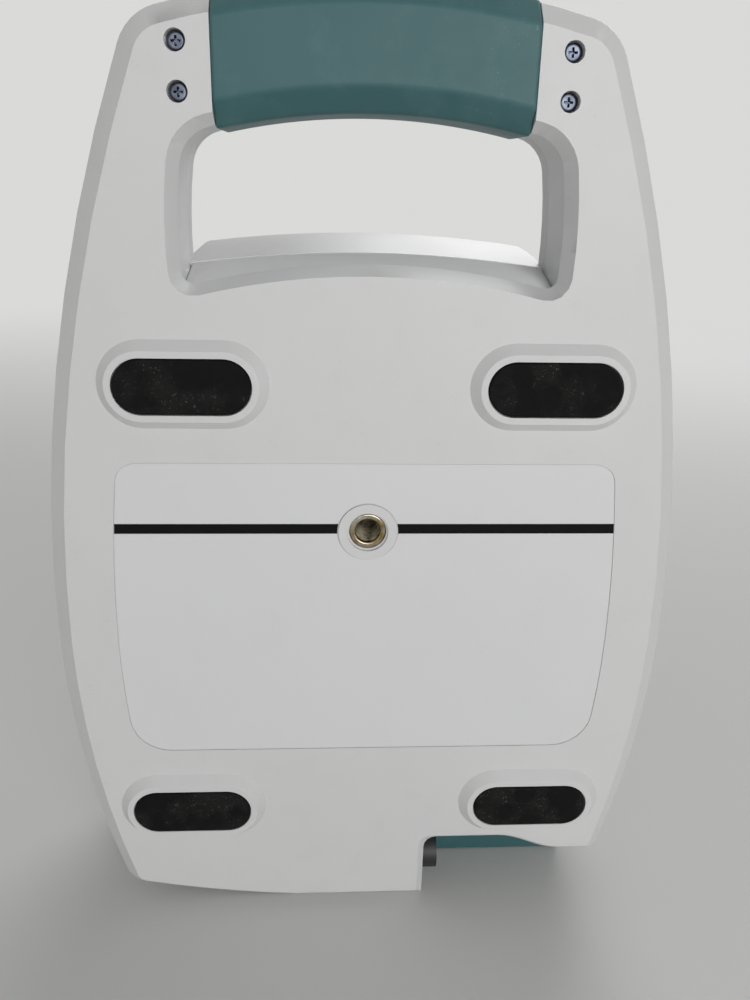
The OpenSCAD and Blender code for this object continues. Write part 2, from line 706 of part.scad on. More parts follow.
// Rear half of the housing, with the foot pads, the notch and the handle's rear half
module rear_cover() color(shell_colour) upright() {
    difference() {
        union() {
            difference() {
                rear_form();
                rear_cavity();
            }
            feet_at() foot_pad(0, 0);
            rod(0, insert_y, plate_z - boss_proud, plate_z + wall, boss_r);
            rod(0, insert_y, plate_in_z - over, insert_z + insert_len + wall, insert_r + wall);
            for (p = all_base_screws) rod(p.x, p.y, plate_in_z - over, part_z, post_r);
            for (s = [-1, 1], y = handle_screw_ys)
                rod(s * handle_screw_x, y, plate_in_z - over, part_z, post_r);
            for (x = chassis_screw_x, y = chassis_screw_y)
                rod(x, y, plate_in_z - over, chassis_z, small_post_r);
            for (x = scan_posts_x, y = scan_posts_y) rod(x, y, plate_in_z - over, scan_z, small_post_r);
            for (s = [-1, 1], y = tab_ys) rod(s * tab_x, y, plate_in_z - over, frame_z, small_post_r);
        }
        // Handle opening; under its lower edge the front cover's tongue closes the wall
        loft([[plate_z - over, open_ring(open_bevel * (1 + over / bevel_rise))], [edge_z, open_ring(0)],
            [part_z + over, open_ring(open_draft)]]);
        box([-open_half + wall / 8, open_bottom_y - 4 * wall, edge_z],
            [open_half - wall / 8, open_wide_y, part_z + over]);
        grip_room(part_z, edge_z, plate_z);
        bar(grip_t + wall, grip_w - 2 * wall, part_z + over, edge_z, plate_z);
        // Notch for the probe's cable
        loft([[plate_z - over, notch_ring(notch_bevel + over)], [plate_z + notch_bevel, notch_ring(0)],
            [part_z + over, notch_ring(0)]]);
        cross_rod(socket_y, socket_z, -notch_x - wall, -notch_x + 2 * wall, socket_neck_r);
        // Rubber feet, screws and the stand insert
        feet_at() stadium(0, 0, -over, rubber_t, foot_w + 2 * gap, foot_h + 2 * gap);
        for (p = all_base_screws) {
            rod(p.x, p.y, 0, base_seat_z, recess_r);
            rod(p.x, p.y, 0, part_z + over, hole_r);
        }
        for (s = [-1, 1], y = handle_screw_ys) {
            rod(s * handle_screw_x, y, 0, handle_seat_z, recess_r);
            rod(s * handle_screw_x, y, 0, part_z + over, hole_r);
        }
        for (x = chassis_screw_x, y = chassis_screw_y)
            rod(x, y, chassis_z - screw_hold, chassis_z + over, hole_r);
        for (x = scan_posts_x, y = scan_posts_y) rod(x, y, scan_z - screw_hold, scan_z + over, hole_r);
        for (s = [-1, 1], y = tab_ys) rod(s * tab_x, y, frame_z - screw_hold, frame_z + over, hole_r);
        rod(0, insert_y, 0, insert_z, counter_r);
        rod(0, insert_y, 0, insert_z + insert_len, insert_r);
        difference() {
            translate([0, 0, plate_z - over]) linear_extrude(label_sink + over) polygon(label_ring(0));
            rod(0, insert_y, 0, plate_z + wall, boss_r);
        }
    }
}

// Outer form of the front housing, drawn in by t, from height z0
module house_form(t, z0) {
    rings = [for (h = house_shares) [part_z + h[0] * (face_z - t - part_z),
        house_ring(h[1] * house_bevel + t, h[2] * crest_drop + t, h[3] * house_bevel + t)]];
    loft(concat([[z0, rings[0][1]]], [for (i = [1:len(rings) - 1]) rings[i]]));
}
// The front half of the handle loop over the parting plane
module lid_form() {
    difference() {
        loft([[part_z, body_ring(0)], [lid_z - bevel_rise, body_ring(0)], [lid_z, body_ring(bevel_run)]]);
        loft([[part_z - over, open_ring(open_draft)], [lid_z - bevel_rise, open_ring(0)],
            [lid_z + over, open_ring(open_bevel * (1 + over / bevel_rise))]]);
    }
}
module lid_cavity() {
    difference() {
        loft([[part_z - over, body_ring(wall)], [lid_z - inner_rise, body_ring(wall)],
            [lid_z - wall, body_ring(inner_inset)]]);
        loft([[part_z - 2 * over, open_ring(wall + open_draft)], [lid_z - bevel_rise, open_ring(wall)],
            [lid_z, open_ring(open_bevel + wall)]]);
        bar_zone(part_z - 2 * over, lid_z);
    }
}
// Curved wall that closes the lower side of the opening, from its bevel up to the crest
function tongue_ring(y, r) =
    let (w = open_half - 2 * gap, n = 12, c = [0, y - r])
    concat([for (i = [0:n]) let (x = -w + 2 * w * i / n) [x, c.y + sqrt(r * r - x * x) - wall]],
        [for (i = [n:-1:0]) let (x = -w + 2 * w * i / n) [x, c.y + sqrt(r * r - x * x)]]);
// Straight part of the cradle's outside: trough, and skirt seen through the notch
module cradle_block(e) {
    r = cradle_out_r + e;
    translate([-cradle_x, cradle_len, cradle_z]) rotate([90, 0, 0]) cylinder(h = cradle_len + over, r = r);
    rod(-cradle_x, cradle_len, cradle_z, face_z + 2 * over, r);
    translate([-cradle_x, cradle_len, cradle_z]) sphere(r = r);
    box([-cradle_x - r, -over, cradle_z], [-cradle_x + r, cradle_len, face_z + 2 * over]);
}
module skirt_block(e) {
    box([-cradle_x - skirt_half - e, -over, skirt_z - e],
        [-cradle_x + skirt_half + e, skirt_h + e, cradle_z + e]);
}
// Front half of the housing: display face, printer crest, shoulders and the handle's front half
module front_cover() color(shell_colour) upright() {
    difference() {
        union() {
            difference() {
                union() {
                    lid_form();
                    house_form(0, part_z);
                    loft([[edge_z + gap, tongue_ring(open_bottom_y - gap, open_bottom_r)],
                        [part_z + over,
                            tongue_ring(crest_y - house_shares[0][2] * crest_drop - gap / 3, crest_r)]]);
                }
                lid_cavity();
                house_form(wall, part_z - over);
            }
            // Floor behind the notch, between the cradle and the socket's wall
            box([-cradle_x + skirt_half - over, wall / 2, part_z],
                [-notch_x + wall, notch_high_y + wall, part_z + wall]);
            for (p = base_screws_at) rod(p.x, p.y, part_z, face_in_z + over, post_r);
            for (s = [-1, 1], y = handle_screw_ys)
                rod(s * handle_screw_x, y, part_z, lid_z - wall / 2, post_r);
            for (p = key_screws_at) rod(p.x, p.y, key_board_z + pcb_t, face_in_z + over, small_post_r);
        }
        grip_room(part_z, lid_z - bevel_rise, lid_z);
        bar(grip_t + wall, grip_w - 2 * wall, part_z - over, lid_z - bevel_rise, lid_z);
        for (p = base_screws_at) rod(p.x, p.y, part_z - over, part_z + base_hold + gap, hole_r);
        for (s = [-1, 1], y = handle_screw_ys)
            rod(s * handle_screw_x, y, part_z - over, lid_z - wall, hole_r);
        for (p = key_screws_at) rod(p.x, p.y, key_board_z, key_board_z + key_screw_len + gap, hole_r);
        cradle_block(gap);
        skirt_block(gap);
        // Display, keys and loudspeaker
        translate([display_x, display_y, face_in_z - over]) linear_extrude(wall + 2 * over)
            polygon(frame_ring(display_w / 2 + gap, display_h / 2 + gap, bezel_corner_r + gap));
        for (i = [0:3])
            stadium(key_x(i), key_y, face_in_z - over, face_z + over, key_w + 2 * gap, key_h + 2 * gap);
        rod(power_x, power_y, face_in_z - over, face_z + over, power_r + gap);
        for (i = [-2:2], j = [-1:1])
            rod(speaker_x + i * grille_pitch, power_y + j * grille_pitch, face_in_z - over, face_z + over,
                grille_r);
        // Printer door with its hinge, and the release button
        box([-door_half - gap, door_low_y - slot_w, face_in_z - over],
            [door_half + gap, hinge_y, face_z + over]);
        box([-door_half - gap, door_notch_y, hinge_z - ear_r - 2 * gap],
            [door_half + gap, hinge_y + ear_r + 2 * gap, face_z + over]);
        rod(button_x, button_y, face_in_z - over, face_z + over, button_r + gap);
        // Battery mouth in the flank, and the window in the bottom end
        box([half_w - 4 * wall, battery_y - battery_w / 2 - gap, battery_z - gap],
            [half_w + over, battery_y + battery_w / 2 + gap, battery_z + battery_t + gap]);
        box([window_x - window_w / 2, -over, window_z],
            [window_x + window_w / 2, 2 * wall, window_z + window_h]);
    }
}

module grip_rear() color(teal_colour) upright() grip_half(part_z, edge_z, plate_z);
module grip_front() color(teal_colour) upright() grip_half(part_z, lid_z - bevel_rise, lid_z);

module rubber_foot(x, y) color(rubber_colour) upright() {
    stadium_slope(x, y, 0, rubber_chamfer, foot_w - foot_h, foot_h - 2 * rubber_chamfer, foot_h);
    stadium(x, y, rubber_chamfer, rubber_t, foot_w, foot_h);
}
module foot_upper_left() rubber_foot(-foot_top_x, foot_top_y);
module foot_upper_right() rubber_foot(foot_top_x, foot_top_y);
module foot_lower_left() rubber_foot(-foot_low_x, foot_low_y);
module foot_lower_right() rubber_foot(foot_low_x, foot_low_y);

// Thin plate in the shallow recess of the rear cover, cut out round the insert's boss
module rating_label() color(label_colour) upright() difference() {
    translate([0, 0, plate_z + label_sink - label_t]) linear_extrude(label_t) polygon(label_ring(gap / 2));
    rod(0, insert_y, 0, plate_z + over, boss_r + gap);
}
module stand_insert() color(steel_colour) upright() difference() {
    rod(0, insert_y, insert_z, insert_z + insert_len, insert_r);
    rod(0, insert_y, insert_z - over, insert_z + insert_len + over, insert_bore_r);
    translate([0, insert_y, insert_z])
        cylinder(h = insert_chamfer, r1 = insert_bore_r + insert_chamfer, r2 = insert_bore_r);
}

// A pan-head screw with its head below z and its shank pointing up
module screw_up(x, y, z, len) {
    rod(x, y, z - head_h, z, head_r);
    rod(x, y, z - over / 2, z + len, shank_r);
}
// A pan-head screw standing on z with its shank pointing down
module screw_down(x, y, z, len) {
    rod(x, y, z, z + head_h, head_r);
    rod(x, y, z - len, z + over / 2, shank_r);
}
module handle_screws() color(screw_colour) upright()
    for (s = [-1, 1], y = handle_screw_ys)
        screw_up(s * handle_screw_x, y, handle_seat_z, lid_z - wall - handle_seat_z - over);
module base_screws() color(screw_colour) upright()
    for (p = all_base_screws) screw_up(p.x, p.y, base_seat_z, part_z + base_hold - base_seat_z);

// Inside of the trough, open to the front and at the lower end
module trough_room() {
    translate([-cradle_x, cradle_len, cradle_z]) rotate([90, 0, 0])
        cylinder(h = cradle_len + over, r = cradle_r);
    translate([-cradle_x, cradle_len, cradle_z]) sphere(r = cradle_r);
    rod(-cradle_x, cradle_len, cradle_z, face_z + 2 * over, cradle_r);
    box([-cradle_x - cradle_r, -over, cradle_z], [-cradle_x + cradle_r, cradle_len, face_z + 2 * over]);
}
// The housing's form with its lower edge let out, which trims the cradle flush with the flank
module cradle_trim() {
    loft(concat([[part_z, house_ring(0, 0, -cradle_reach)]],
        [for (h = house_shares) if (h[0] > 0)
            [part_z + h[0] * (face_z - part_z),
                house_ring(h[1] * house_bevel, h[2] * crest_drop, -cradle_reach)]],
        [[face_z + rim_proud, house_ring(house_bevel, crest_drop, -cradle_reach)]]));
}
// Trough that holds the probe, with the skirt behind the notch and a rim on the front face
module probe_cradle() color(teal_colour) upright() {
    low = cradle_low_y;
    r = cradle_out_r;
    difference() {
        intersection() {
            union() {
                difference() {
                    box([-cradle_x - skirt_half, low, skirt_z],
                        [-cradle_x + skirt_half, skirt_h, cradle_z]);
                    box([-cradle_x - skirt_half + wall, low + wall, skirt_z + wall],
                        [-cradle_x + skirt_half - wall, skirt_h + over, cradle_z + over]);
                }
                translate([-cradle_x, cradle_len, cradle_z]) rotate([90, 0, 0])
                    cylinder(h = cradle_len - low, r = r);
                translate([-cradle_x, cradle_len, cradle_z]) sphere(r = r);
                rod(-cradle_x, cradle_len, cradle_z, face_z, r);
                box([-cradle_x - r, low, cradle_z], [-cradle_x + r, cradle_len, face_z]);
                rod(-cradle_x, cradle_len, face_z, face_z + rim_proud, r + rim_w);
                box([-cradle_x - r - rim_w, low, face_z],
                    [-cradle_x + r + rim_w, cradle_len, face_z + rim_proud]);
                rod(cradle_screw_at.x, cradle_screw_at.y, part_z, cradle_z - r + wall, post_r);
            }
            cradle_trim();
        }
        trough_room();
        rod(cradle_screw_at.x, cradle_screw_at.y, part_z - over, part_z + base_hold + gap, hole_r);
    }
}

// Round socket in the notch's side wall, open towards the notch
module probe_socket() color(dark_colour) upright() difference() {
    union() {
        cross_rod(socket_y, socket_z, -notch_x - socket_out, -notch_x, socket_r);
        cross_rod(socket_y, socket_z, -notch_x - over, -notch_x + socket_in, socket_neck_r);
    }
    cross_rod(socket_y, socket_z, -notch_x - socket_out - over, -notch_x + socket_in - contact_t,
        socket_bore_r);
    cross_rod(socket_y, socket_z, -notch_x, -notch_x + socket_in + over, contact_block_r);
}
module socket_contacts() color(contact_colour) upright() difference() {
    x = -notch_x + socket_in - contact_t;
    cross_rod(socket_y, socket_z, x, x + contact_t, contact_block_r);
    for (i = [0:contact_n - 1]) {
        a = 360 * i / contact_n;
        cross_rod(socket_y + contact_ring_r * cos(a), socket_z + contact_ring_r * sin(a), x - over,
            x + contact_t / 2, contact_r);
    }
}
module socket_nut() color(steel_colour) upright() difference() {
    translate([-notch_x + wall, socket_y, socket_z]) rotate([0, 90, 0])
        cylinder(h = nut_t, r = nut_r, $fn = 6);
    cross_rod(socket_y, socket_z, -notch_x + wall - over, -notch_x + wall + nut_t + over, socket_neck_r);
}

function key_x(i) = display_x + (i - 1.5) * key_pitch;
// A rectangle with round corners, from its half sizes
function frame_ring(w, h, r, n = 5) = [for (q = [0:3], i = [0:n]) let (a = 90 * (q + i / n))
    [(q == 0 || q == 3 ? w - r : r - w) + r * cos(a), (q < 2 ? h - r : r - h) + r * sin(a)]];
module display_bezel() color(bezel_colour) upright() {
    w = display_w / 2;
    h = display_h / 2;
    top = face_z + bezel_proud;
    translate([display_x, display_y, 0]) difference() {
        union() {
            loft([[face_in_z - over, frame_ring(w, h, bezel_corner_r)],
                [face_z, frame_ring(w, h, bezel_corner_r)],
                [top, frame_ring(w - bezel_slope, h - bezel_slope, bezel_corner_r - bezel_slope)]]);
            box([-w - bezel_flange, -h - bezel_flange, face_in_z - bezel_back],
                [w + bezel_flange, h + bezel_flange, face_in_z]);
        }
        translate([0, 0, lens_z]) linear_extrude(top - lens_z + over)
            polygon(frame_ring(w - lens_rim, h - lens_rim, lens_corner_r));
        box([-w + lens_rim + lens_edge, -h + lens_rim + lens_edge, face_in_z - bezel_back - over],
            [w - lens_rim - lens_edge, h - lens_rim - lens_edge, face_z]);
    }
}
module display_lens() color(lens_colour) upright() {
    play = gap / 3;
    translate([display_x, display_y, lens_z]) linear_extrude(lens_t)
        polygon(frame_ring(display_w / 2 - lens_rim - play, display_h / 2 - lens_rim - play,
            lens_corner_r - play));
}
// Display panel behind the frame: a metal tray with its glass in front
module lcd_panel() color(steel_colour) upright() {
    w = display_w / 2 - panel_edge;
    h = display_h / 2 - panel_edge;
    z = face_in_z - bezel_back;
    translate([display_x, display_y, 0]) difference() {
        box([-w, -h, z - panel_t], [w, h, z]);
        box([-w + 2 * panel_edge, -h + 2 * panel_edge, z - panel_edge / 4],
            [w - 2 * panel_edge, h - 2 * panel_edge, z + over]);
    }
}
// A key: cap through the cover, flange behind it and a stem over its switch
module soft_key(i) color(key_colour) upright() {
    x = key_x(i);
    z = face_z + key_proud - key_chamfer;
    stadium(x, key_y, key_under_z, z, key_w, key_h);
    stadium_slope(x, key_y, z, face_z + key_proud, key_w - key_h, key_h, key_h - 2 * key_chamfer);
    stadium(x, key_y, key_under_z, key_under_z + key_flange_t, key_w + 2 * key_rim, key_h + 2 * key_rim);
    rod(x, key_y, key_stem_z, key_under_z + over / 2, stem_r);
}
module soft_key_1() soft_key(0);
module soft_key_2() soft_key(1);
module soft_key_3() soft_key(2);
module soft_key_4() soft_key(3);
module power_key() color(teal_colour) upright() {
    z = face_z + key_proud - key_chamfer;
    rod(power_x, power_y, key_under_z, z, power_r);
    translate([power_x, power_y, z]) cylinder(h = key_chamfer, r1 = power_r, r2 = power_r - key_chamfer);
    rod(power_x, power_y, key_under_z, key_under_z + key_flange_t, power_r + key_rim);
    rod(power_x, power_y, key_stem_z, key_under_z + over / 2, stem_r);
}
module key_board() color(board_colour) upright() difference() {
    union() {
        box([key_board_x[0], key_board_y[0], key_board_z],
            [key_board_x[1], key_board_y[1], key_board_z + pcb_t]);
        for (i = [0:3]) rod(key_x(i), key_y, key_board_z + pcb_t / 2, switch_z, switch_r);
        rod(power_x, power_y, key_board_z + pcb_t / 2, switch_z, switch_r);
    }
    for (p = key_screws_at) rod(p.x, p.y, key_board_z - over, key_board_z + pcb_t + over, hole_r);
}
module key_board_screws() color(screw_colour) upright()
    for (p = key_screws_at) screw_up(p.x, p.y, key_board_z, key_screw_len);
module speaker() color(dark_colour) upright() {
    rod(speaker_x, power_y, face_in_z - speaker_t, face_in_z, speaker_r);
    rod(speaker_x, power_y, face_in_z - speaker_t - speaker_t / 4, face_in_z - speaker_t / 2,
        speaker_r / 2);
}

// Sheet-metal plate that carries the battery sleeve and the boards
module chassis_plate() color(steel_colour) upright() difference() {
    box([chassis_x[0], chassis_y[0], chassis_z], [chassis_x[1], chassis_y[1], chassis_z + chassis_t]);
    for (x = chassis_screw_x, y = chassis_screw_y)
        rod(x, y, chassis_z - over, chassis_z + chassis_t + over, hole_r);
    for (x = main_screw_x, y = main_screw_y)
        rod(x, y, chassis_z - over, chassis_z + chassis_t + over, hole_r);
    rod(chassis_at.x - chassis_w / 4, chassis_screw_y[1], chassis_z - over, chassis_z + chassis_t + over,
        cable_hole_r);
}
module chassis_screws() color(screw_colour) upright()
    for (x = chassis_screw_x, y = chassis_screw_y)
        screw_down(x, y, chassis_z + chassis_t, chassis_t + board_screw_len);
module board_standoffs() color(brass_colour) upright()
    for (x = main_screw_x, y = main_screw_y) difference() {
        union() {
            rod(x, y, chassis_z + chassis_t, main_z, standoff_r);
            rod(x, y, chassis_z, chassis_z + chassis_t + over, shank_r);
        }
        rod(x, y, main_z - screw_hold, main_z + over, hole_r);
    }
// Chips on a board that spans xs and ys, with its upper face at z
module chips(shares, xs, ys, z, h) {
    w = xs[1] - xs[0];
    l = ys[1] - ys[0];
    for (c = shares)
        box([xs[0] + c[0] * w, ys[0] + c[1] * l, z - pcb_t / 2],
            [xs[0] + (c[0] + c[2]) * w, ys[0] + (c[1] + c[3]) * l, z + c[4] * h]);
}
// Main board with its chips, connectors and a row of capacitors
module main_board() color(board_colour) upright() difference() {
    union() {
        box([chassis_x[0], main_y[0], main_z], [chassis_x[1], main_y[1], main_z + pcb_t]);
        chips(main_chip_shares, chassis_x, main_y, main_z + pcb_t, main_chip_h);
        for (i = [0:cap_n - 1])
            rod(chassis_x[0] + cap_shares.x * chassis_w + i * cap_pitch, main_y[0] + cap_shares.y * main_h,
            main_z + pcb_t / 2, main_z + pcb_t + cap_h, cap_r);
    }
    for (x = main_screw_x, y = main_screw_y) rod(x, y, main_z - over, main_z + pcb_t + over, hole_r);
}
module main_board_screws() color(screw_colour) upright()
    for (x = main_screw_x, y = main_screw_y) screw_down(x, y, main_z + pcb_t, pcb_t + board_screw_len);
module scan_board() color(board_colour) upright() difference() {
    union() {
        box([scan_x[0], scan_y[0], scan_z], [scan_x[1], scan_y[1], scan_z + pcb_t]);
        chips(scan_chip_shares, scan_x, scan_y, scan_z + pcb_t, scan_chip_h);
    }
    for (x = scan_posts_x, y = scan_posts_y) rod(x, y, scan_z - over, scan_z + pcb_t + over, hole_r);
}
module scan_board_screws() color(screw_colour) upright()
    for (x = scan_posts_x, y = scan_posts_y) screw_down(x, y, scan_z + pcb_t, pcb_t + board_screw_len);

module battery_pack() color(battery_colour) upright() difference() {
    intersection() {
        box([battery_x, battery_y - battery_w / 2, battery_z],
            [half_w + over, battery_y + battery_w / 2, battery_z + battery_t]);
        house_form(0, part_z);
    }
    // Scoop for the finger that draws the pack out
    rod(half_w + pull_r - pull_depth, battery_y, battery_z - over, battery_z + battery_t + over, pull_r);
}
module battery_sleeve() color(dark_colour) upright() {
    h = battery_w / 2 + gap;
    z = battery_z - gap;
    difference() {
        box([battery_x - sleeve_back, battery_y - h - sleeve_wall, z - sleeve_wall],
            [half_w - 2 * wall, battery_y + h + sleeve_wall, battery_z + battery_t + gap + sleeve_wall]);
        box([battery_x - sleeve_back + sleeve_wall, battery_y - h, z],
            [half_w, battery_y + h, battery_z + battery_t + gap]);
    }
}
module battery_contacts() color(brass_colour) upright()
    for (i = [0:blade_n - 1]) translate([0, battery_y + (i - (blade_n - 1) / 2) * blade_pitch, 0])
        box([battery_x - sleeve_back + sleeve_wall, -blade_t / 2, battery_z + battery_t / 4],
            [battery_x - gap, blade_t / 2, battery_z + 3 * battery_t / 4]);

// Frame of the printer: two plates, the paper bucket between them, a bar for the head and four tabs
module printer_frame() color(frame_colour) upright() difference() {
    union() {
        for (s = [-1, 1]) translate([s * (plate_x + plate_t / 2), 0, 0]) {
            box([-plate_t / 2, frame_y[0], frame_z], [plate_t / 2, frame_y[1], frame_top_z]);
            box([-plate_t / 2, hinge_y - ear_r, frame_top_z - over], [plate_t / 2, frame_y[1], hinge_z]);
            cross_rod(hinge_y, hinge_z, -plate_t / 2, plate_t / 2, ear_r);
        }
        difference() {
            cross_rod(roll_y, roll_z, -plate_x - over / 2, plate_x + over / 2,
                roll_r + bucket_gap + bucket_t);
            cross_rod(roll_y, roll_z, -plate_x - over, plate_x + over, roll_r + bucket_gap);
            box([-plate_x - over, frame_y[0] - 2 * over, roll_z],
                [plate_x + over, frame_y[1] + 2 * over, face_z]);
        }
        box([-plate_x - over / 2, frame_y[0], platen_z + head_bar_rise - head_bar_h],
            [plate_x + over / 2, frame_y[0] + head_bar_t, platen_z + head_bar_rise]);
        for (s = [-1, 1], y = tab_ys)
            box([s * tab_x - tab_w / 2, y - tab_w / 2, frame_z],
                [s * tab_x + tab_w / 2, y + tab_w / 2, frame_z + plate_t]);
    }
    cross_rod(hinge_y, hinge_z, -door_half, door_half, hinge_pin_r);
    cross_rod(roll_y, roll_z, -door_half, door_half, spindle_end_r);
    for (s = [-1, 1], y = tab_ys) rod(s * tab_x, y, frame_z - over, frame_z + plate_t + over, hole_r);
}
module printer_screws() color(screw_colour) upright()
    for (s = [-1, 1], y = tab_ys) screw_down(s * tab_x, y, frame_z + plate_t, plate_t + board_screw_len);
// Door: a flat lid with a barrel for the hinge pin and two cheeks that carry the platen
module printer_door() color(shell_colour) upright() difference() {
    union() {
        box([-door_half, door_low_y, face_z - door_t], [door_half, door_notch_y, face_z]);
        box([-plate_x + gap, door_notch_y - over, face_z - door_t],
            [plate_x - gap, hinge_y, hinge_z + barrel_r]);
        cross_rod(hinge_y, hinge_z, -plate_x + gap, plate_x - gap, barrel_r);
        for (i = [0:rib_n - 1])
            box([-rib_half, door_low_y + rib_in + i * rib_pitch, face_z - over],
                [rib_half, door_low_y + rib_in + i * rib_pitch + rib_w, face_z + rib_h]);
        for (s = [-1, 1]) translate([s > 0 ? cheek_x : -cheek_x - cheek_t, 0, 0]) rotate([90, 0, 90])
            linear_extrude(cheek_t)
            polygon([[door_low_y + over, face_z - door_t / 2],
                [door_low_y + over, platen_z - platen_shaft_r - cheek_t],
                [platen_y + platen_r, platen_z - platen_shaft_r - cheek_t],
                    [door_notch_y - over, face_z - door_t / 2]]);
    }
    cross_rod(hinge_y, hinge_z, -door_half - over, door_half + over, hinge_pin_r + running);
    cross_rod(platen_y, platen_z, -door_half, door_half, platen_shaft_r + running);
}
module hinge_pin() color(steel_colour) upright()
    cross_rod(hinge_y, hinge_z, -plate_x - plate_t, plate_x + plate_t, hinge_pin_r);
module platen_roller() color(rubber_colour) upright() {
    cross_rod(platen_y, platen_z, -platen_half, platen_half, platen_r);
    cross_rod(platen_y, platen_z, -cheek_x - cheek_t, cheek_x + cheek_t, platen_shaft_r);
}
// Thermal print head on the frame's bar, facing the platen
module print_head() color(head_colour) upright()
    box([-roll_w / 2, frame_y[0] + head_bar_t, platen_z - platen_r - head_past],
        [roll_w / 2, platen_y - platen_r - gap, platen_z + head_bar_rise + head_past]);
// Toothed strip along the paper slot
module tear_bar() color(steel_colour) upright() {
    y = door_low_y - slot_w;
    n = tear_teeth;
    w = roll_w + 2 * tear_past;
    translate([0, 0, face_z]) linear_extrude(tear_t)
        polygon(concat([[w / 2, y - tear_w], [-w / 2, y - tear_w]],
            [for (i = [0:2 * n]) [-w / 2 + w * i / (2 * n), y - (i % 2 == 0 ? tear_tooth : 0)]]));
}
module paper_roll() color(paper_colour) upright() difference() {
    cross_rod(roll_y, roll_z, -roll_w / 2, roll_w / 2, roll_r);
    cross_rod(roll_y, roll_z, -roll_w / 2 - over, roll_w / 2 + over, core_r + running);
}
module roll_spindle() color(dark_colour) upright() {
    cross_rod(roll_y, roll_z, -roll_w / 2 - spindle_past, roll_w / 2 + spindle_past, core_r);
    cross_rod(roll_y, roll_z, -plate_x - plate_t, plate_x + plate_t, spindle_end_r);
}
module feed_motor() color(steel_colour) upright() {
    cross_rod(motor_y, motor_z, plate_x + plate_t, plate_x + plate_t + motor_len, motor_r);
    cross_rod(motor_y, motor_z, plate_x + plate_t + motor_len - over,
        plate_x + plate_t + motor_len + motor_cap, motor_r / 3);
}
module door_button() color(teal_colour) upright() {
    rod(button_x, button_y, key_under_z, face_z + button_proud, button_r);
    rod(button_x, button_y, key_under_z, key_under_z + key_flange_t, button_r + key_rim);
    rod(button_x, button_y, key_stem_z, key_under_z + over / 2, stem_r);
}
module data_window() color(lens_colour) upright()
    box([window_x - window_w / 2 + gap / 3, gap, window_z + gap / 3],
        [window_x + window_w / 2 - gap / 3, wall, window_z + window_h - gap / 3]);

rear_cover();
front_cover();
grip_rear();
grip_front();
foot_upper_left();
foot_upper_right();
foot_lower_left();
foot_lower_right();
rating_label();
stand_insert();
handle_screws();
base_screws();
probe_cradle();
probe_socket();
socket_contacts();
socket_nut();
display_bezel();
display_lens();
lcd_panel();
soft_key_1();
soft_key_2();
soft_key_3();
soft_key_4();
power_key();
key_board();
key_board_screws();
chassis_plate();
chassis_screws();
board_standoffs();
main_board();
main_board_screws();
scan_board();
scan_board_screws();
battery_pack();
battery_sleeve();
battery_contacts();
printer_frame();
printer_screws();
printer_door();
hinge_pin();
platen_roller();
print_head();
tear_bar();
paper_roll();
roll_spindle();
feed_motor();
door_button();
speaker();
data_window();
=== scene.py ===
import math
import bpy
from mathutils import Matrix, Vector


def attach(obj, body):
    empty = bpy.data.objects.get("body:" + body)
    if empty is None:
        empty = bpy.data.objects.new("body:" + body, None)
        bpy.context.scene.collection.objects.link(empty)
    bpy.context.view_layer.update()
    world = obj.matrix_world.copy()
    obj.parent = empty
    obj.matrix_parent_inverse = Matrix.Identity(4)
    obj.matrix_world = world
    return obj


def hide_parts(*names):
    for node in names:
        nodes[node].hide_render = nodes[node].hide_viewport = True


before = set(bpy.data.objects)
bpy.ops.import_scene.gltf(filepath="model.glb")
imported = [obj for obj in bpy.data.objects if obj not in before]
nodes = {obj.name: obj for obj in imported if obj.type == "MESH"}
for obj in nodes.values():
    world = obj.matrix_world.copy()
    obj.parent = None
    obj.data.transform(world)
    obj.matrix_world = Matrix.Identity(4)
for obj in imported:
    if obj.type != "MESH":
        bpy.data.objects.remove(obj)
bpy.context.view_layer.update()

mm = 0.001
feetFace = 42.6  # the rubber feet end here on +Y, in mm


def bench(x, z, y):
    # x across, z depth counted from the feet, y height, in mm
    return Vector((x * mm, (feetFace - z) * mm, y * mm))


def benchOf(point):
    # the other way round: a place in the mesh as (x, z, y) in mm
    return point.x / mm, feetFace - point.y / mm, point.z / mm


# camera, fitted to the photograph of the rear plate
print("camera")
cameraView = {
    "lens": 31.32,
    "place": (12.94, 290.1, 256.6),  # mm
    "yaw": 3.41,
    "pitch": 20.71,
    "roll": 1.28,
}


def addCamera():
    yaw, pitch, roll = (math.radians(cameraView[k]) for k in ("yaw", "pitch", "roll"))
    forward = Vector((-math.sin(yaw) * math.cos(pitch), -math.cos(yaw) * math.cos(pitch), -math.sin(pitch)))
    right = Vector((-math.cos(yaw), math.sin(yaw), 0))
    up = right.cross(forward)
    rolledRight = right * math.cos(roll) + up * math.sin(roll)
    rolledUp = up * math.cos(roll) - right * math.sin(roll)
    turn = Matrix((rolledRight, rolledUp, -forward)).transposed().to_4x4()
    bpy.ops.object.camera_add()
    camera = bpy.context.active_object
    camera.name = "photoCamera"
    camera.data.lens = cameraView["lens"]
    camera.data.clip_start = 0.01
    camera.matrix_world = Matrix.Translation(Vector(cameraView["place"]) * mm) @ turn
    bpy.context.scene.camera = camera


addCamera()


# small helpers for picking, copying and finishing pieces
def deselectAll():
    bpy.ops.object.select_all(action="DESELECT")


def pick(*objects):
    deselectAll()
    for thing in objects:
        thing.select_set(True)
    bpy.context.view_layer.objects.active = objects[0]


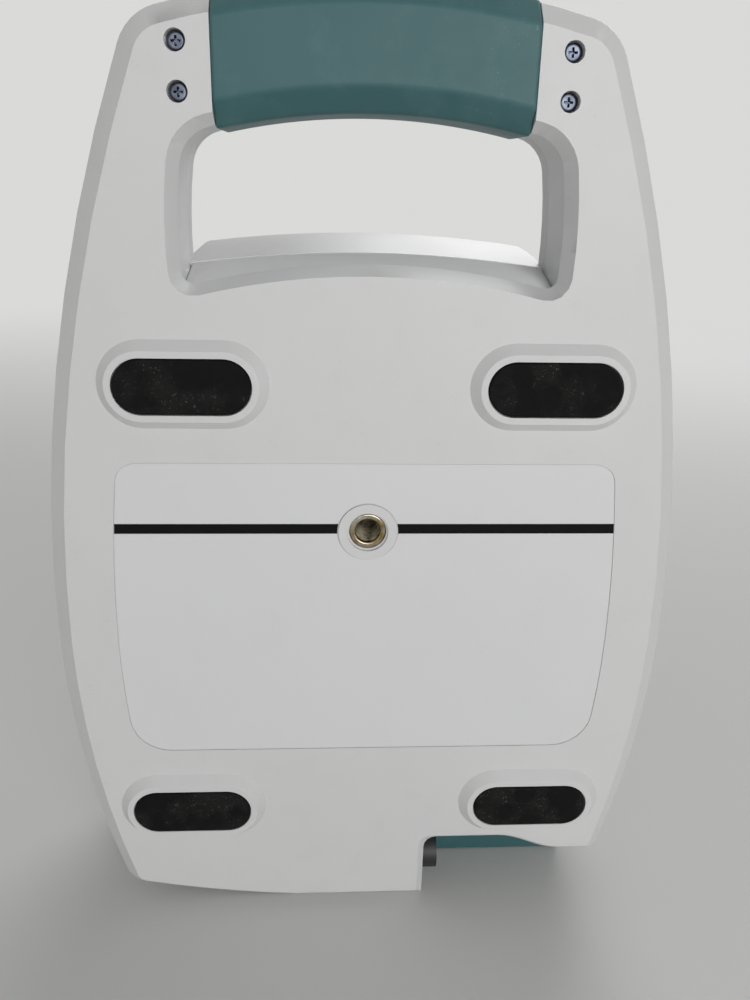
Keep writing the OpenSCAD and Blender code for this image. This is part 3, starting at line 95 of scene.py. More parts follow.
def editWith(piece, mode, indices):
    # opens edit mode with only these vertices, edges or faces selected
    pick(piece)
    modes = ("VERT", "EDGE", "FACE")
    bpy.context.tool_settings.mesh_select_mode = [mode == m for m in modes]
    mesh = piece.data
    parts = (mesh.vertices, mesh.edges, mesh.polygons)
    for part in parts:
        part.foreach_set("select", [False] * len(part))
    chosen = parts[modes.index(mode)]
    for index in indices:
        chosen[index].select = True
    bpy.ops.object.mode_set(mode="EDIT")


def leaveEdit():
    bpy.ops.object.mode_set(mode="OBJECT")


def facesWhere(piece, test):
    return [face.index for face in piece.data.polygons if test(face.center, face.normal)]


def vertsWhere(piece, test):
    return [vert.index for vert in piece.data.vertices if test(vert.co)]


def edgesWhere(piece, angle, test):
    # edges whose two faces meet at more than this angle, and whose ends and bend pass the test
    mesh = piece.data
    sides = {}
    for face in mesh.polygons:
        for key in face.edge_keys:
            sides.setdefault(key, []).append(face)
    limit = math.cos(math.radians(angle))
    found = []
    for edge in mesh.edges:
        pair = sides.get(tuple(sorted(edge.vertices)), [])
        if len(pair) != 2 or pair[0].normal.dot(pair[1].normal) > limit:
            continue
        ends = [mesh.vertices[v].co for v in edge.vertices]
        outward = (pair[1].center - ends[0]).dot(pair[0].normal) < 0
        if test(ends[0], ends[1], outward):
            found.append(edge.index)
    return found


def copyNode(nodeName, pieceName):
    pick(nodes[nodeName])
    bpy.ops.object.duplicate()
    piece = bpy.context.active_object
    piece.name = pieceName
    piece.parent = None
    for key in list(piece.keys()):
        del piece[key]
    bpy.ops.object.mode_set(mode="EDIT")
    bpy.ops.mesh.select_all(action="SELECT")
    bpy.ops.mesh.remove_doubles(threshold=0.002 * mm)
    bpy.ops.mesh.dissolve_limited(angle_limit=math.radians(0.8))
    leaveEdit()
    return piece


def roundEdges(piece, rules):
    # each rule rounds the edges that it picks, as a mould or a cutter leaves them
    for rule in rules:
        edges = edgesWhere(piece, rule.get("angle", 20), rule["where"])
        if not edges:
            print("no edge to round on", piece.name)
            continue
        editWith(piece, "EDGE", edges)
        bpy.ops.mesh.bevel(offset=rule["width"] * mm, offset_type="OFFSET", segments=rule.get("segments", 3),
                           profile=0.5, affect="EDGES", clamp_overlap=True, miter_outer="ARC")
        leaveEdit()


squareOn = 0.9995  # a face this square to the depth counts as flat
blendsIn = 0.93  # and a rounded edge's face this close to it takes its normal there


def finishSurface(piece, angle=34):
    # smooth shading; faces square to the depth keep their own normal right up to a rounded edge
    pick(piece)
    bpy.ops.object.shade_smooth_by_angle(angle=math.radians(angle))
    mesh = piece.data
    flat = {}
    for face in mesh.polygons:
        if abs(face.normal.y) > squareOn:
            for vertex in face.vertices:
                flat[vertex] = Vector((0, math.copysign(1, face.normal.y), 0))
    normals = [corner.vector.copy() for corner in mesh.corner_normals]
    for face in mesh.polygons:
        for loop, vertex in zip(face.loop_indices, face.vertices):
            if vertex in flat and face.normal.dot(flat[vertex]) > blendsIn:
                normals[loop] = flat[vertex]
    mesh.normals_split_custom_set(normals)


def settle(piece):
    # the place goes into the mesh, and the object ends at the origin
    pick(piece)
    bpy.ops.object.transform_apply(location=True, rotation=True, scale=True)


def faceOutwards(piece):
    editWith(piece, "FACE", range(len(piece.data.polygons)))
    bpy.ops.mesh.remove_doubles(threshold=0.002 * mm)
    bpy.ops.mesh.normals_make_consistent(inside=False)
    leaveEdit()


def copyPiece(piece, name, shift):
    pick(piece)
    bpy.ops.object.duplicate()
    twin = bpy.context.active_object
    twin.name = name
    twin.location = shift
    settle(twin)
    return twin


def joinPieces(first, *others):
    pick(first, *others)
    bpy.ops.object.join()
    return first


def useModifier(piece, kind, settings):
    pick(piece)
    modifier = piece.modifiers.new(kind.lower(), kind)
    for key, value in settings.items():
        setattr(modifier, key, value)
    bpy.ops.object.modifier_apply(modifier=modifier.name)


def dress(piece, material, body, slotName, *replaced):
    piece.data.materials.clear()
    piece.data.materials.append(material)
    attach(piece, body)
    if replaced:
        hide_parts(*replaced)
    return piece


# materials
print("materials")


def tint(hexColour, alpha=1.0):
    channels = [int(hexColour[i:i + 2], 16) / 255 for i in (1, 3, 5)]
    return [c / 12.92 if c <= 0.04045 else ((c + 0.055) / 1.055) ** 2.4 for c in channels] + [alpha]


def addNode(tree, kind, settings=None, links=None):
    node = tree.nodes.new(kind)
    for key, value in (settings or {}).items():
        if isinstance(key, str) and hasattr(node, key):
            setattr(node, key, value)
        else:
            node.inputs[key].default_value = value
    for key, source in (links or {}).items():
        tree.links.new(source, node.inputs[key])
    return node


def newMaterial(name):
    material = bpy.data.materials.new(name)
    material.use_nodes = True
    tree = material.node_tree
    for node in list(tree.nodes):
        tree.nodes.remove(node)
    place = addNode(tree, "ShaderNodeTexCoord")
    return material, tree, place.outputs["Object"]


def perMetre(sizeMm):
    return 1000 / sizeMm


def mouldedPlastic(name, look):
    # injection-moulded ABS or elastomer: a spark-eroded grain breaks the highlight, and handling
    # leaves faint uneven tone, smears and lint
    material, tree, place = newMaterial(name)
    tone = addNode(tree, "ShaderNodeTexNoise", {"Scale": perMetre(look["patchMm"]), "Detail": 4.0},
                   {"Vector": place})
    toneMix = addNode(tree, "ShaderNodeMix",
                      {"data_type": "RGBA", 6: tint(look["base"]), 7: tint(look["shade"])},
                      {0: tone.outputs["Fac"]})
    colour = toneMix.outputs[2]
    if look.get("dust"):
        # lint and dust gather in patches; drawn coarser than real so that it shows
        lint = addNode(tree, "ShaderNodeTexNoise", {"Scale": perMetre(look["dustMm"]), "Detail": 1.0,
                                                    "Distortion": 1.5},
                       {"Vector": place})
        patch = addNode(tree, "ShaderNodeTexNoise", {"Scale": perMetre(look["dustMm"] * 14), "Detail": 3.0},
                        {"Vector": place})
        near = addNode(tree, "ShaderNodeMapRange", {"From Min": 0.66, "From Max": 0.76},
                       {"Value": lint.outputs["Fac"]})
        where = addNode(tree, "ShaderNodeMapRange",
                        {"From Min": look["dustFrom"], "From Max": look["dustFrom"] + 0.16},
                        {"Value": patch.outputs["Fac"]})
        film = addNode(tree, "ShaderNodeMath", {"operation": "MULTIPLY", 1: look.get("film", 0.12)},
                       {0: where.outputs["Result"]})
        both = addNode(tree, "ShaderNodeMath", {"operation": "MULTIPLY"},
                       {0: near.outputs["Result"], 1: where.outputs["Result"]})
        strength = addNode(tree, "ShaderNodeMath", {"operation": "MULTIPLY_ADD", 1: look["dust"]},
                           {0: both.outputs[0], 2: film.outputs[0]})
        dustMix = addNode(tree, "ShaderNodeMix", {"data_type": "RGBA", 7: tint(look["dustColour"])},
                          {0: strength.outputs[0], 6: colour})
        colour = dustMix.outputs[2]
    gloss = addNode(tree, "ShaderNodeTexNoise", {"Scale": perMetre(look["patchMm"] / 3), "Detail": 3.0},
                    {"Vector": place})
    rough = addNode(tree, "ShaderNodeMapRange", {"To Min": look["rough"] - look["roughSpread"],
                                                  "To Max": look["rough"] + look["roughSpread"]},
                    {"Value": gloss.outputs["Fac"]})
    grain = addNode(tree, "ShaderNodeTexNoise", {"Scale": perMetre(look["grainMm"]), "Detail": 2.0,
                                                 "Roughness": 0.6},
                    {"Vector": place})
    bump = addNode(tree, "ShaderNodeBump", {"Strength": 1.0, "Distance": look["grainDepth"] * mm},
                   {"Height": grain.outputs["Fac"]})
    shader = addNode(tree, "ShaderNodeBsdfPrincipled", {"IOR": look.get("ior", 1.5)},
                     {"Base Color": colour, "Roughness": rough.outputs["Result"],
                      "Normal": bump.outputs["Normal"]})
    addNode(tree, "ShaderNodeOutputMaterial", links={"Surface": shader.outputs["BSDF"]})
    return material


def workedMetal(name, look):
    # turned, rolled or plated metal: fine tool lines stretch the highlight, and plating varies in tone; the
    # nickel's brass-toned patches are a painted glint
    material, tree, place = newMaterial(name)
    stretched = addNode(tree, "ShaderNodeMapping", {"Scale": look["lines"]}, {"Vector": place})
    lines = addNode(tree, "ShaderNodeTexNoise", {"Scale": perMetre(look["lineMm"]), "Detail": 3.0},
                    {"Vector": stretched.outputs["Vector"]})
    tone = addNode(tree, "ShaderNodeTexNoise", {"Scale": perMetre(look["patchMm"]), "Detail": 4.0},
                   {"Vector": place})
    ramp = addNode(tree, "ShaderNodeMapRange", {"From Min": 0.35, "From Max": 0.65},
                   {"Value": tone.outputs["Fac"]})
    toneMix = addNode(tree, "ShaderNodeMix",
                      {"data_type": "RGBA", 6: tint(look["base"]), 7: tint(look["shade"])},
                      {0: ramp.outputs["Result"]})
    rough = addNode(tree, "ShaderNodeMapRange", {"To Min": look["rough"] - look["roughSpread"],
                                                  "To Max": look["rough"] + look["roughSpread"]},
                    {"Value": lines.outputs["Fac"]})
    bump = addNode(tree, "ShaderNodeBump", {"Strength": 1.0, "Distance": look["lineDepth"] * mm},
                   {"Height": lines.outputs["Fac"]})
    shader = addNode(tree, "ShaderNodeBsdfPrincipled", {"Metallic": 1.0},
                     {"Base Color": toneMix.outputs[2], "Roughness": rough.outputs["Result"],
                      "Normal": bump.outputs["Normal"]})
    addNode(tree, "ShaderNodeOutputMaterial", links={"Surface": shader.outputs["BSDF"]})
    return material


def smokedPane(name, look):
    # hard-coated smoked acrylic: dark and glossy, with faint wiping marks in the gloss
    material, tree, place = newMaterial(name)
    wipe = addNode(tree, "ShaderNodeTexNoise", {"Scale": perMetre(look["wipeMm"]), "Detail": 5.0,
                                                "Distortion": 1.2},
                   {"Vector": place})
    rough = addNode(tree, "ShaderNodeMapRange",
                    {"To Min": look["rough"], "To Max": look["rough"] + look["roughSpread"]},
                    {"Value": wipe.outputs["Fac"]})
    shader = addNode(tree, "ShaderNodeBsdfPrincipled", {"Base Color": tint(look["base"]), "IOR": 1.49},
                     {"Roughness": rough.outputs["Result"]})
    if look.get("active"):
        # a black border printed on the back leaves the display's active area in the middle
        axes = addNode(tree, "ShaderNodeSeparateXYZ", links={0: place})
        sides = []
        for axis, (centre, half) in look["active"].items():
            offset = addNode(tree, "ShaderNodeMath", {"operation": "SUBTRACT", 1: centre * mm},
                             {0: axes.outputs[axis]})
            reach = addNode(tree, "ShaderNodeMath", {"operation": "ABSOLUTE"}, {0: offset.outputs[0]})
            sides.append(addNode(tree, "ShaderNodeMath", {"operation": "GREATER_THAN", 1: half * mm},
                                 {0: reach.outputs[0]}))
        border = addNode(tree, "ShaderNodeMath", {"operation": "MAXIMUM"},
                         {0: sides[0].outputs[0], 1: sides[1].outputs[0]})
        printed = addNode(tree, "ShaderNodeMix",
                          {"data_type": "RGBA", 6: tint(look["base"]), 7: tint(look["border"])},
                          {0: border.outputs[0]})
        tree.links.new(printed.outputs[2], shader.inputs["Base Color"])
    addNode(tree, "ShaderNodeOutputMaterial", links={"Surface": shader.outputs["BSDF"]})
    return material


def circuitBoard(name, look):
    # glass-epoxy board under solder mask: copper tracks show as lighter, slightly raised lines
    material, tree, place = newMaterial(name)
    turned = addNode(tree, "ShaderNodeMapping", {"Rotation": (math.radians(90), 0, 0)}, {"Vector": place})
    tracks = addNode(tree, "ShaderNodeTexBrick", {"Scale": perMetre(look["trackMm"] * 8), "Mortar Size": 0.03,
                                                  "Brick Width": 0.9, "Row Height": 0.35},
                     {"Vector": turned.outputs["Vector"]})
    tracks.inputs["Color1"].default_value = tint(look["base"])
    tracks.inputs["Color2"].default_value = tint(look["shade"])
    tracks.inputs["Mortar"].default_value = tint(look["track"])
    bump = addNode(tree, "ShaderNodeBump", {"Strength": 0.6, "Distance": 0.05 * mm},
                   {"Height": tracks.outputs["Fac"]})
    shader = addNode(tree, "ShaderNodeBsdfPrincipled", {"Roughness": 0.35, "IOR": 1.5},
                     {"Base Color": tracks.outputs["Color"], "Normal": bump.outputs["Normal"]})
    addNode(tree, "ShaderNodeOutputMaterial", links={"Surface": shader.outputs["BSDF"]})
    return material


def woundPaper(name, look):
    # thermal paper: smooth white faces, and the wound edges show as fine rings about the roll's axis
    material, tree, place = newMaterial(name)
    centred = addNode(tree, "ShaderNodeMapping", {"Location": look["axis"]}, {"Vector": place})
    rings = addNode(tree, "ShaderNodeTexWave", {"wave_type": "RINGS", "rings_direction": "X",
                                                "Scale": perMetre(look["layerMm"]) / 3.14, "Distortion": 0.4},
                    {"Vector": centred.outputs["Vector"]})
    fibre = addNode(tree, "ShaderNodeTexNoise", {"Scale": perMetre(0.8), "Detail": 4.0}, {"Vector": place})
    blend = addNode(tree, "ShaderNodeMath", {"operation": "MULTIPLY"},
                    {0: rings.outputs["Fac"], 1: fibre.outputs["Fac"]})
    toneMix = addNode(tree, "ShaderNodeMix", {"data_type": "RGBA", 6: tint(look["shade"]),
                                              7: tint(look["base"])},
                      {0: blend.outputs[0]})
    bump = addNode(tree, "ShaderNodeBump", {"Strength": 0.5, "Distance": 0.03 * mm},
                   {"Height": blend.outputs[0]})
    shader = addNode(tree, "ShaderNodeBsdfPrincipled", {"Roughness": 0.75, "IOR": 1.45},
                     {"Base Color": toneMix.outputs[2], "Normal": bump.outputs["Normal"]})
    addNode(tree, "ShaderNodeOutputMaterial", links={"Surface": shader.outputs["BSDF"]})
    return material


plastics = {
    "shellAbs": {"base": "#D2D2D2", "shade": "#CBCBCB", "patchMm": 70, "rough": 0.46, "roughSpread": 0.05,
                 "grainMm": 0.55, "grainDepth": 0.012, "dust": 0.3, "dustMm": 0.9, "dustFrom": 0.52,
                 "film": 0.03,
                 "dustColour": "#A9A497"},
    "tealAbs": {"base": "#3B6264", "shade": "#375D61", "patchMm": 45, "ior": 1.42, "rough": 0.5,
                "roughSpread": 0.06,
                "grainMm": 0.7, "grainDepth": 0.02, "dust": 0.25, "dustMm": 0.8, "dustFrom": 0.52,
                "film": 0.05,
                "dustColour": "#86A5A4"},
    "tealKeyAbs": {"base": "#3B6264", "shade": "#375D61", "ior": 1.42, "patchMm": 20, "rough": 0.42,
                   "roughSpread": 0.04,
                   "grainMm": 0.5, "grainDepth": 0.008},
    "footRubber": {"base": "#0B0B0C", "shade": "#101011", "patchMm": 9, "rough": 0.78, "roughSpread": 0.08,
                   "grainMm": 0.6, "grainDepth": 0.03, "dust": 0.45, "dustMm": 0.7, "dustFrom": 0.46,
                   "film": 0.025,
                   "dustColour": "#85847C", "ior": 1.22},
    "platenRubber": {"base": "#1E1E20", "shade": "#262628", "patchMm": 8, "rough": 0.65, "roughSpread": 0.06,
                     "grainMm": 0.4, "grainDepth": 0.02},
    "labelFilm": {"base": "#D8D8D9", "shade": "#D3D3D4", "patchMm": 60, "rough": 0.36, "roughSpread": 0.04,
                  "grainMm": 1.6, "grainDepth": 0.006, "dust": 0.2, "dustMm": 0.9, "dustFrom": 0.56,
                  "film": 0.02,
                  "dustColour": "#A9A497"},
    "stripeInk": {"base": "#0C0C0D", "shade": "#101012", "ior": 1.18, "patchMm": 12, "rough": 0.55,
                  "roughSpread": 0.04,
                  "grainMm": 1.6, "grainDepth": 0.006},
    "blackNylon": {"base": "#232325", "shade": "#2B2B2D", "patchMm": 10, "rough": 0.5, "roughSpread": 0.06,
                   "grainMm": 0.5, "grainDepth": 0.01},
    "contactNylon": {"base": "#3D382C", "shade": "#463F31", "patchMm": 6, "rough": 0.5, "roughSpread": 0.05,
                     "grainMm": 0.5, "grainDepth": 0.01},
    "bezelAbs": {"base": "#474C50", "shade": "#42474B", "patchMm": 30, "rough": 0.44, "roughSpread": 0.05,
                 "grainMm": 0.5, "grainDepth": 0.01},
    "panelPaint": {"base": "#1C2225", "shade": "#20272A", "patchMm": 40, "rough": 0.3, "roughSpread": 0.02,
                   "grainMm": 3, "grainDepth": 0.0002},
    "keyAbs": {"base": "#B4BCBD", "shade": "#AEB7B8", "patchMm": 15, "rough": 0.45, "roughSpread": 0.04,
               "grainMm": 0.5, "grainDepth": 0.008},
    "batteryAbs": {"base": "#C6C6C0", "shade": "#BFBFB8", "patchMm": 30, "rough": 0.5, "roughSpread": 0.05,
                   "grainMm": 0.5, "grainDepth": 0.012},
    "frameNylon": {"base": "#55575B", "shade": "#4E5054", "patchMm": 20, "rough": 0.55, "roughSpread": 0.05,
                   "grainMm": 0.6, "grainDepth": 0.012},
}
metals = {
    # the nickel's brass-toned shade, mixed in patches, is a painted brassy glint
    "nickelPlatePaintedGlint": {"base": "#C4BFB2", "shade": "#8E7B52", "patchMm": 4, "rough": 0.24, "roughSpread": 0.1,
                    "lineMm": 0.6, "lines": (1, 6, 1), "lineDepth": 0.006},
    "zincPlate": {"base": "#6C717F", "shade": "#4C515D", "patchMm": 2.5, "rough": 0.38, "roughSpread": 0.1,
                  "lineMm": 0.7, "lines": (1, 1, 1), "lineDepth": 0.008},
    # a darker copy of the nickel for the thread and the bore's closed end: painted shade of the deep bore
    "threadNickelPaintedShade": {"base": "#7A7362", "shade": "#4A4335", "patchMm": 2, "rough": 0.42, "roughSpread": 0.12,
                     "lineMm": 0.5, "lines": (1, 5, 1), "lineDepth": 0.01},
    "rolledSteel": {"base": "#B7B9BB", "shade": "#A6A8AB", "patchMm": 20, "rough": 0.34, "roughSpread": 0.08,
                    "lineMm": 0.8, "lines": (1, 1, 12), "lineDepth": 0.006},
    "turnedBrass": {"base": "#C9A561", "shade": "#B18C4B", "patchMm": 6, "rough": 0.28, "roughSpread": 0.08,
                    "lineMm": 0.6, "lines": (1, 8, 1), "lineDepth": 0.006},
    "headAluminium": {"base": "#A8A29A", "shade": "#979189", "patchMm": 12, "rough": 0.4, "roughSpread": 0.08,
                      "lineMm": 0.6, "lines": (8, 1, 1), "lineDepth": 0.008},
}
materials = {name: mouldedPlastic(name, look) for name, look in plastics.items()}
materials.update({name: workedMetal(name, look) for name, look in metals.items()})
materials["lensAcrylic"] = smokedPane("lensAcrylic", {"base": "#2A3236", "border": "#0C0E10", "wipeMm": 30,
                                                     "rough": 0.06, "roughSpread": 0.06,
                                                     "active": {"X": (31, 42.4), "Z": (130, 36.4)}})
materials["windowAcrylic"] = smokedPane("windowAcrylic", {"base": "#2A0D10", "wipeMm": 8, "rough": 0.05,
                                                         "roughSpread": 0.06})
materials["boardEpoxy"] = circuitBoard("boardEpoxy",
                                       {"base": "#1E6B3F", "shade": "#1A6239", "track": "#3F8F5A",
                                                      "trackMm": 0.9})
materials["thermalPaper"] = woundPaper("thermalPaper", {"base": "#F5F5F1", "shade": "#DEDED6", "layerMm": 0.9,
                                                        "axis": (0, 13.4 * mm, -203 * mm)})

nodeFinish = {
    "rear_cover": "shellAbs", "front_cover": "shellAbs", "printer_door": "shellAbs",
    "grip_rear": "tealAbs", "grip_front": "tealAbs", "probe_cradle": "tealAbs",
    "power_key": "tealKeyAbs", "door_button": "tealKeyAbs",
    "foot_upper_left": "footRubber", "foot_upper_right": "footRubber",
    "foot_lower_left": "footRubber", "foot_lower_right": "footRubber",
    "platen_roller": "platenRubber", "rating_label": "labelFilm",
    "stand_insert": "nickelPlatePaintedGlint", "socket_nut": "nickelPlatePaintedGlint",
    "handle_screws": "zincPlate", "base_screws": "zincPlate", "key_board_screws": "zincPlate",
    "chassis_screws": "zincPlate", "main_board_screws": "zincPlate", "scan_board_screws": "zincPlate",
    "printer_screws": "zincPlate",
    "probe_socket": "blackNylon", "socket_contacts": "contactNylon", "speaker": "blackNylon",
    "battery_sleeve": "blackNylon", "roll_spindle": "blackNylon",
    "display_bezel": "bezelAbs", "display_lens": "lensAcrylic", "lcd_panel": "panelPaint",
    "soft_key_1": "keyAbs", "soft_key_2": "keyAbs", "soft_key_3": "keyAbs", "soft_key_4": "keyAbs",
    "key_board": "boardEpoxy", "main_board": "boardEpoxy", "scan_board": "boardEpoxy",
    "chassis_plate": "rolledSteel", "hinge_pin": "rolledSteel", "tear_bar": "rolledSteel",
    "feed_motor": "rolledSteel", "board_standoffs": "turnedBrass", "battery_contacts": "turnedBrass",
    "battery_pack": "batteryAbs", "printer_frame": "frameNylon", "print_head": "headAluminium",
    "paper_roll": "thermalPaper", "data_window": "windowAcrylic",
}
for nodeName, finish in nodeFinish.items():
    for materialSlot in nodes[nodeName].material_slots:
        materialSlot.material = materials[finish]


# rear cover: rim, pads, boss and seam rounded as the mould leaves them
print("rear cover")
rearForm = {
    "plate": 4, "bevelEdge": 9, "seam": 30,  # depths
    "rim": 0.9, "cut": 0.15, "pad": 0.45, "padFoot": 1.5, "bossRim": 0.3, "seamEdge": 0.35,  # roundings
    "boss": (0, 150.6, 9.3),  # across, height, radius
    "bossReach": 0.3,
    "labelCut": (0, 71, 66, 176),  # from and to across either side, then low and high
    "screwCut": (46, 58, 269, 292),
    "opening": (0, 60, 226, 310),
}


def atDepth(depth, slack=0.15):
    return lambda a, b, outward: all(abs(benchOf(p)[1] - depth) < slack for p in (a, b))


def nearBoss(point, more=1.0):
    x, z, y = benchOf(point)
    return math.hypot(x - rearForm["boss"][0], y - rearForm["boss"][1]) < rearForm["boss"][2] + more


def within(point, area):
    x, z, y = benchOf(point)
    start, end, low, high = area
    return start <= abs(x) < end and low < y < high


def nearCut(point):
    # the label's cut-out and the screw holes in the plate
    return within(point, rearForm["labelCut"]) or within(point, rearForm["screwCut"])


def plateRim(a, b, outward):
    return outward and atDepth(rearForm["plate"])(a, b, outward) and not nearBoss(a) and not nearCut(a)


def cutRim(a, b, outward):
    return outward and atDepth(rearForm["plate"])(a, b, outward) and not nearBoss(a) and nearCut(a)


def padFoot(a, b, outward):
    return not outward and atDepth(rearForm["plate"])(a, b, outward) and not nearBoss(a)


def padTop(a, b, outward):
    return outward and all(benchOf(p)[1] < rearForm["plate"] - 1 for p in (a, b)) and not nearBoss(a)


def bossRim(a, b, outward):
    close = nearBoss(a, rearForm["bossReach"]) and nearBoss(b, rearForm["bossReach"])
    return outward and close and all(benchOf(p)[1] < rearForm["plate"] for p in (a, b))


def inOpening(point):
    return within(point, rearForm["opening"])


def bevelEdge(a, b, outward):
    return outward and atDepth(rearForm["bevelEdge"])(a, b, outward)


def outerSeam(a, b, outward):
    return outward and atDepth(rearForm["seam"])(a, b, outward) and not inOpening(a)


rearShell = copyNode("rear_cover", "rearShell")
roundEdges(rearShell, [
    {"width": rearForm["padFoot"], "segments": 4, "where": padFoot},
    {"width": rearForm["pad"], "segments": 3, "where": padTop},
    {"width": rearForm["bossRim"], "segments": 2, "where": bossRim},
    {"width": rearForm["rim"], "segments": 4, "where": plateRim},
    {"width": rearForm["rim"], "segments": 4, "where": bevelEdge},
    {"width": rearForm["cut"], "segments": 2, "where": cutRim},
    {"width": rearForm["seamEdge"], "segments": 2, "where": outerSeam},
])
finishSurface(rearShell, 20)
dress(rearShell, materials["shellAbs"], "console", "shell", "rear_cover")


# front cover, grip halves and cradle
print("front cover, grip and cradle")
frontForm = {"seam": 30, "lid": 40, "face": 84, "lidEdge": 1.2, "seamEdge": 0.35}


def frontFace(a, b, outward):
    return outward and atDepth(frontForm["face"])(a, b, outward)


frontShell = copyNode("front_cover", "frontShell")
roundEdges(frontShell, [
    {"width": frontForm["seamEdge"], "segments": 2, "where": outerSeam},
    {"width": frontForm["lidEdge"], "segments": 3, "where": atDepth(frontForm["lid"])},
    {"width": 0.3, "segments": 2, "where": frontFace},
])
finishSurface(frontShell, 40)
dress(frontShell, materials["shellAbs"], "console", "shell", "front_cover")

gripForm = {"edge": 1.1}


def gripEdge(a, b, outward):
    # outer edges of the skin, but not those on the parting plane
    return outward and not atDepth(frontForm["seam"], 0.6)(a, b, outward)


for pieceName, nodeName in (("gripRearSkin", "grip_rear"), ("gripFrontSkin", "grip_front")):
    piece = copyNode(nodeName, pieceName)
    roundEdges(piece, [{"width": gripForm["edge"], "segments": 4, "where": gripEdge}])
    finishSurface(piece)
    dress(piece, materials["tealAbs"], "console", "teal", nodeName)

cradleShell = copyNode("probe_cradle", "cradleShell")
roundEdges(cradleShell, [{"width": 0.5, "segments": 3, "angle": 30,
                          "where": lambda a, b,
                          outward: outward and benchOf(a)[1] > 30.5 and benchOf(b)[1] > 30.5}])
finishSurface(cradleShell, 40)
dress(cradleShell, materials["tealAbs"], "console", "teal", "probe_cradle")


# rubber feet, tread edge worn round
print("feet")
for pieceName, nodeName in (("footUpperLeft", "foot_upper_left"), ("footUpperRight", "foot_upper_right"),
                            ("footLowerLeft", "foot_lower_left"), ("footLowerRight", "foot_lower_right")):
    piece = copyNode(nodeName, pieceName)
    roundEdges(piece, [{"width": 0.3, "segments": 2, "where": lambda a, b,
                        outward: outward and benchOf(a)[1] < 1}])
    finishSurface(piece)
    dress(piece, materials["footRubber"], "console", "foot_rubber", nodeName)


# black stripe printed across the label, cut from the label's own face
print("label stripe")
stripeForm = {"low": 149.95, "high": 153.25, "lift": 0.02, "thick": 0.02}


def addStripe():
    piece = copyNode("rating_label", "labelStripe")
    editWith(piece, "FACE", facesWhere(piece, lambda centre, normal: normal.y < 0.9))
    bpy.ops.mesh.delete(type="FACE")
    for height, upwards in ((stripeForm["low"], False), (stripeForm["high"], True)):
        bpy.ops.mesh.select_all(action="SELECT")
        bpy.ops.mesh.bisect(plane_co=(0, 0, height * mm), plane_no=(0, 0, 1), clear_inner=not upwards,
                            clear_outer=upwards)
    bpy.ops.mesh.select_all(action="SELECT")
    bpy.ops.transform.translate(value=(0, stripeForm["lift"] * mm, 0))
    leaveEdit()
    useModifier(piece, "SOLIDIFY", {"thickness": stripeForm["thick"] * mm, "offset": -1})
    dress(piece, materials["stripeInk"], "console", "label")


addStripe()


# handle screws: pan heads with a cross recess
print("screws")
screwForm = {"headRadius": 2.5, "headHeight": 2.2, "headTop": 6.0, "dome": 0.9, "shankRadius": 1.45,
             "shank": 28,
             "slotWide": 0.75, "slotLong": 3.0, "slotDeep": 1.3, "across": 51.9, "heights": (274.91, 286.91)}


def addScrew(place, form):
    # modelled at the origin with the head towards +Y, then moved
    deselectAll()
    bpy.ops.mesh.primitive_cylinder_add(vertices=40, radius=form["headRadius"] * mm,
                                        depth=form["headHeight"] * mm,
                                        location=(0, 0, 0), rotation=(math.radians(-90), 0, 0))
    screw = bpy.context.active_object
    settle(screw)
    editWith(screw, "FACE", facesWhere(screw, lambda centre, normal: normal.y < -0.9))
    bpy.ops.mesh.inset(thickness=(form["headRadius"] - form["shankRadius"]) * mm)
    bpy.ops.mesh.extrude_region_move(TRANSFORM_OT_translate={"value": (0, -form["shank"] * mm, 0)})
    leaveEdit()
    top = form["headHeight"] / 2 * mm
    editWith(screw, "EDGE", edgesWhere(screw, 40, lambda a, b, outward: a.y > top * 0.9 and b.y > top * 0.9))
    bpy.ops.mesh.bevel(offset=form["dome"] * mm, segments=5, profile=0.55, affect="EDGES")
    leaveEdit()
    arms = []
    for turn in (0, 90):
        deselectAll()
        bpy.ops.mesh.primitive_cube_add(size=1, location=(0, top - form["slotDeep"] * 0.3 * mm, 0),
                                        rotation=(0, math.radians(turn), 0))
        arm = bpy.context.active_object
        arm.scale = (form["slotLong"] * mm, form["slotDeep"] * 1.4 * mm, form["slotWide"] * mm)
        settle(arm)
        # the recess narrows towards its floor
        editWith(arm, "VERT", vertsWhere(arm, lambda co: co.y < top - form["slotDeep"] * 0.6 * mm))
        bpy.ops.transform.resize(value=(0.45, 1, 0.45), center_override=(0, 0, 0))
        leaveEdit()
        arms.append(arm)
    for arm in arms:
        useModifier(screw, "BOOLEAN", {"object": arm, "operation": "DIFFERENCE", "solver": "EXACT"})
    for arm in arms:
        pick(arm)
        bpy.ops.object.delete()
    screw.location = place
    settle(screw)
    finishSurface(screw, 38)
    return screw


def addHandleScrews():
    depth = screwForm["headTop"] + screwForm["headHeight"] / 2
    first = addScrew(bench(screwForm["across"], depth, screwForm["heights"][0]), screwForm)
    others = []
    for side, level in ((-1, 0), (1, 1), (-1, 1)):
        shift = Vector(((side - 1) * screwForm["across"] * mm, 0,
                        (screwForm["heights"][level] - screwForm["heights"][0]) * mm))
        others.append(copyPiece(first, "screwCopy", shift))
    piece = joinPieces(first, *others)
    piece.name = "handleScrews"
    dress(piece, materials["zincPlate"], "console", "zinc", "handle_screws")


addHandleScrews()


# stand insert: plated bush with a chamfered mouth and a rolled thread
print("stand insert")
insertForm = {"radius": 5.85, "bore": 3.9, "crest": 3.35, "mouth": 4.6, "length": 14, "height": 150.6,
              "chamfer": 0.6,
              "pitch": 1.25, "turns": 10}


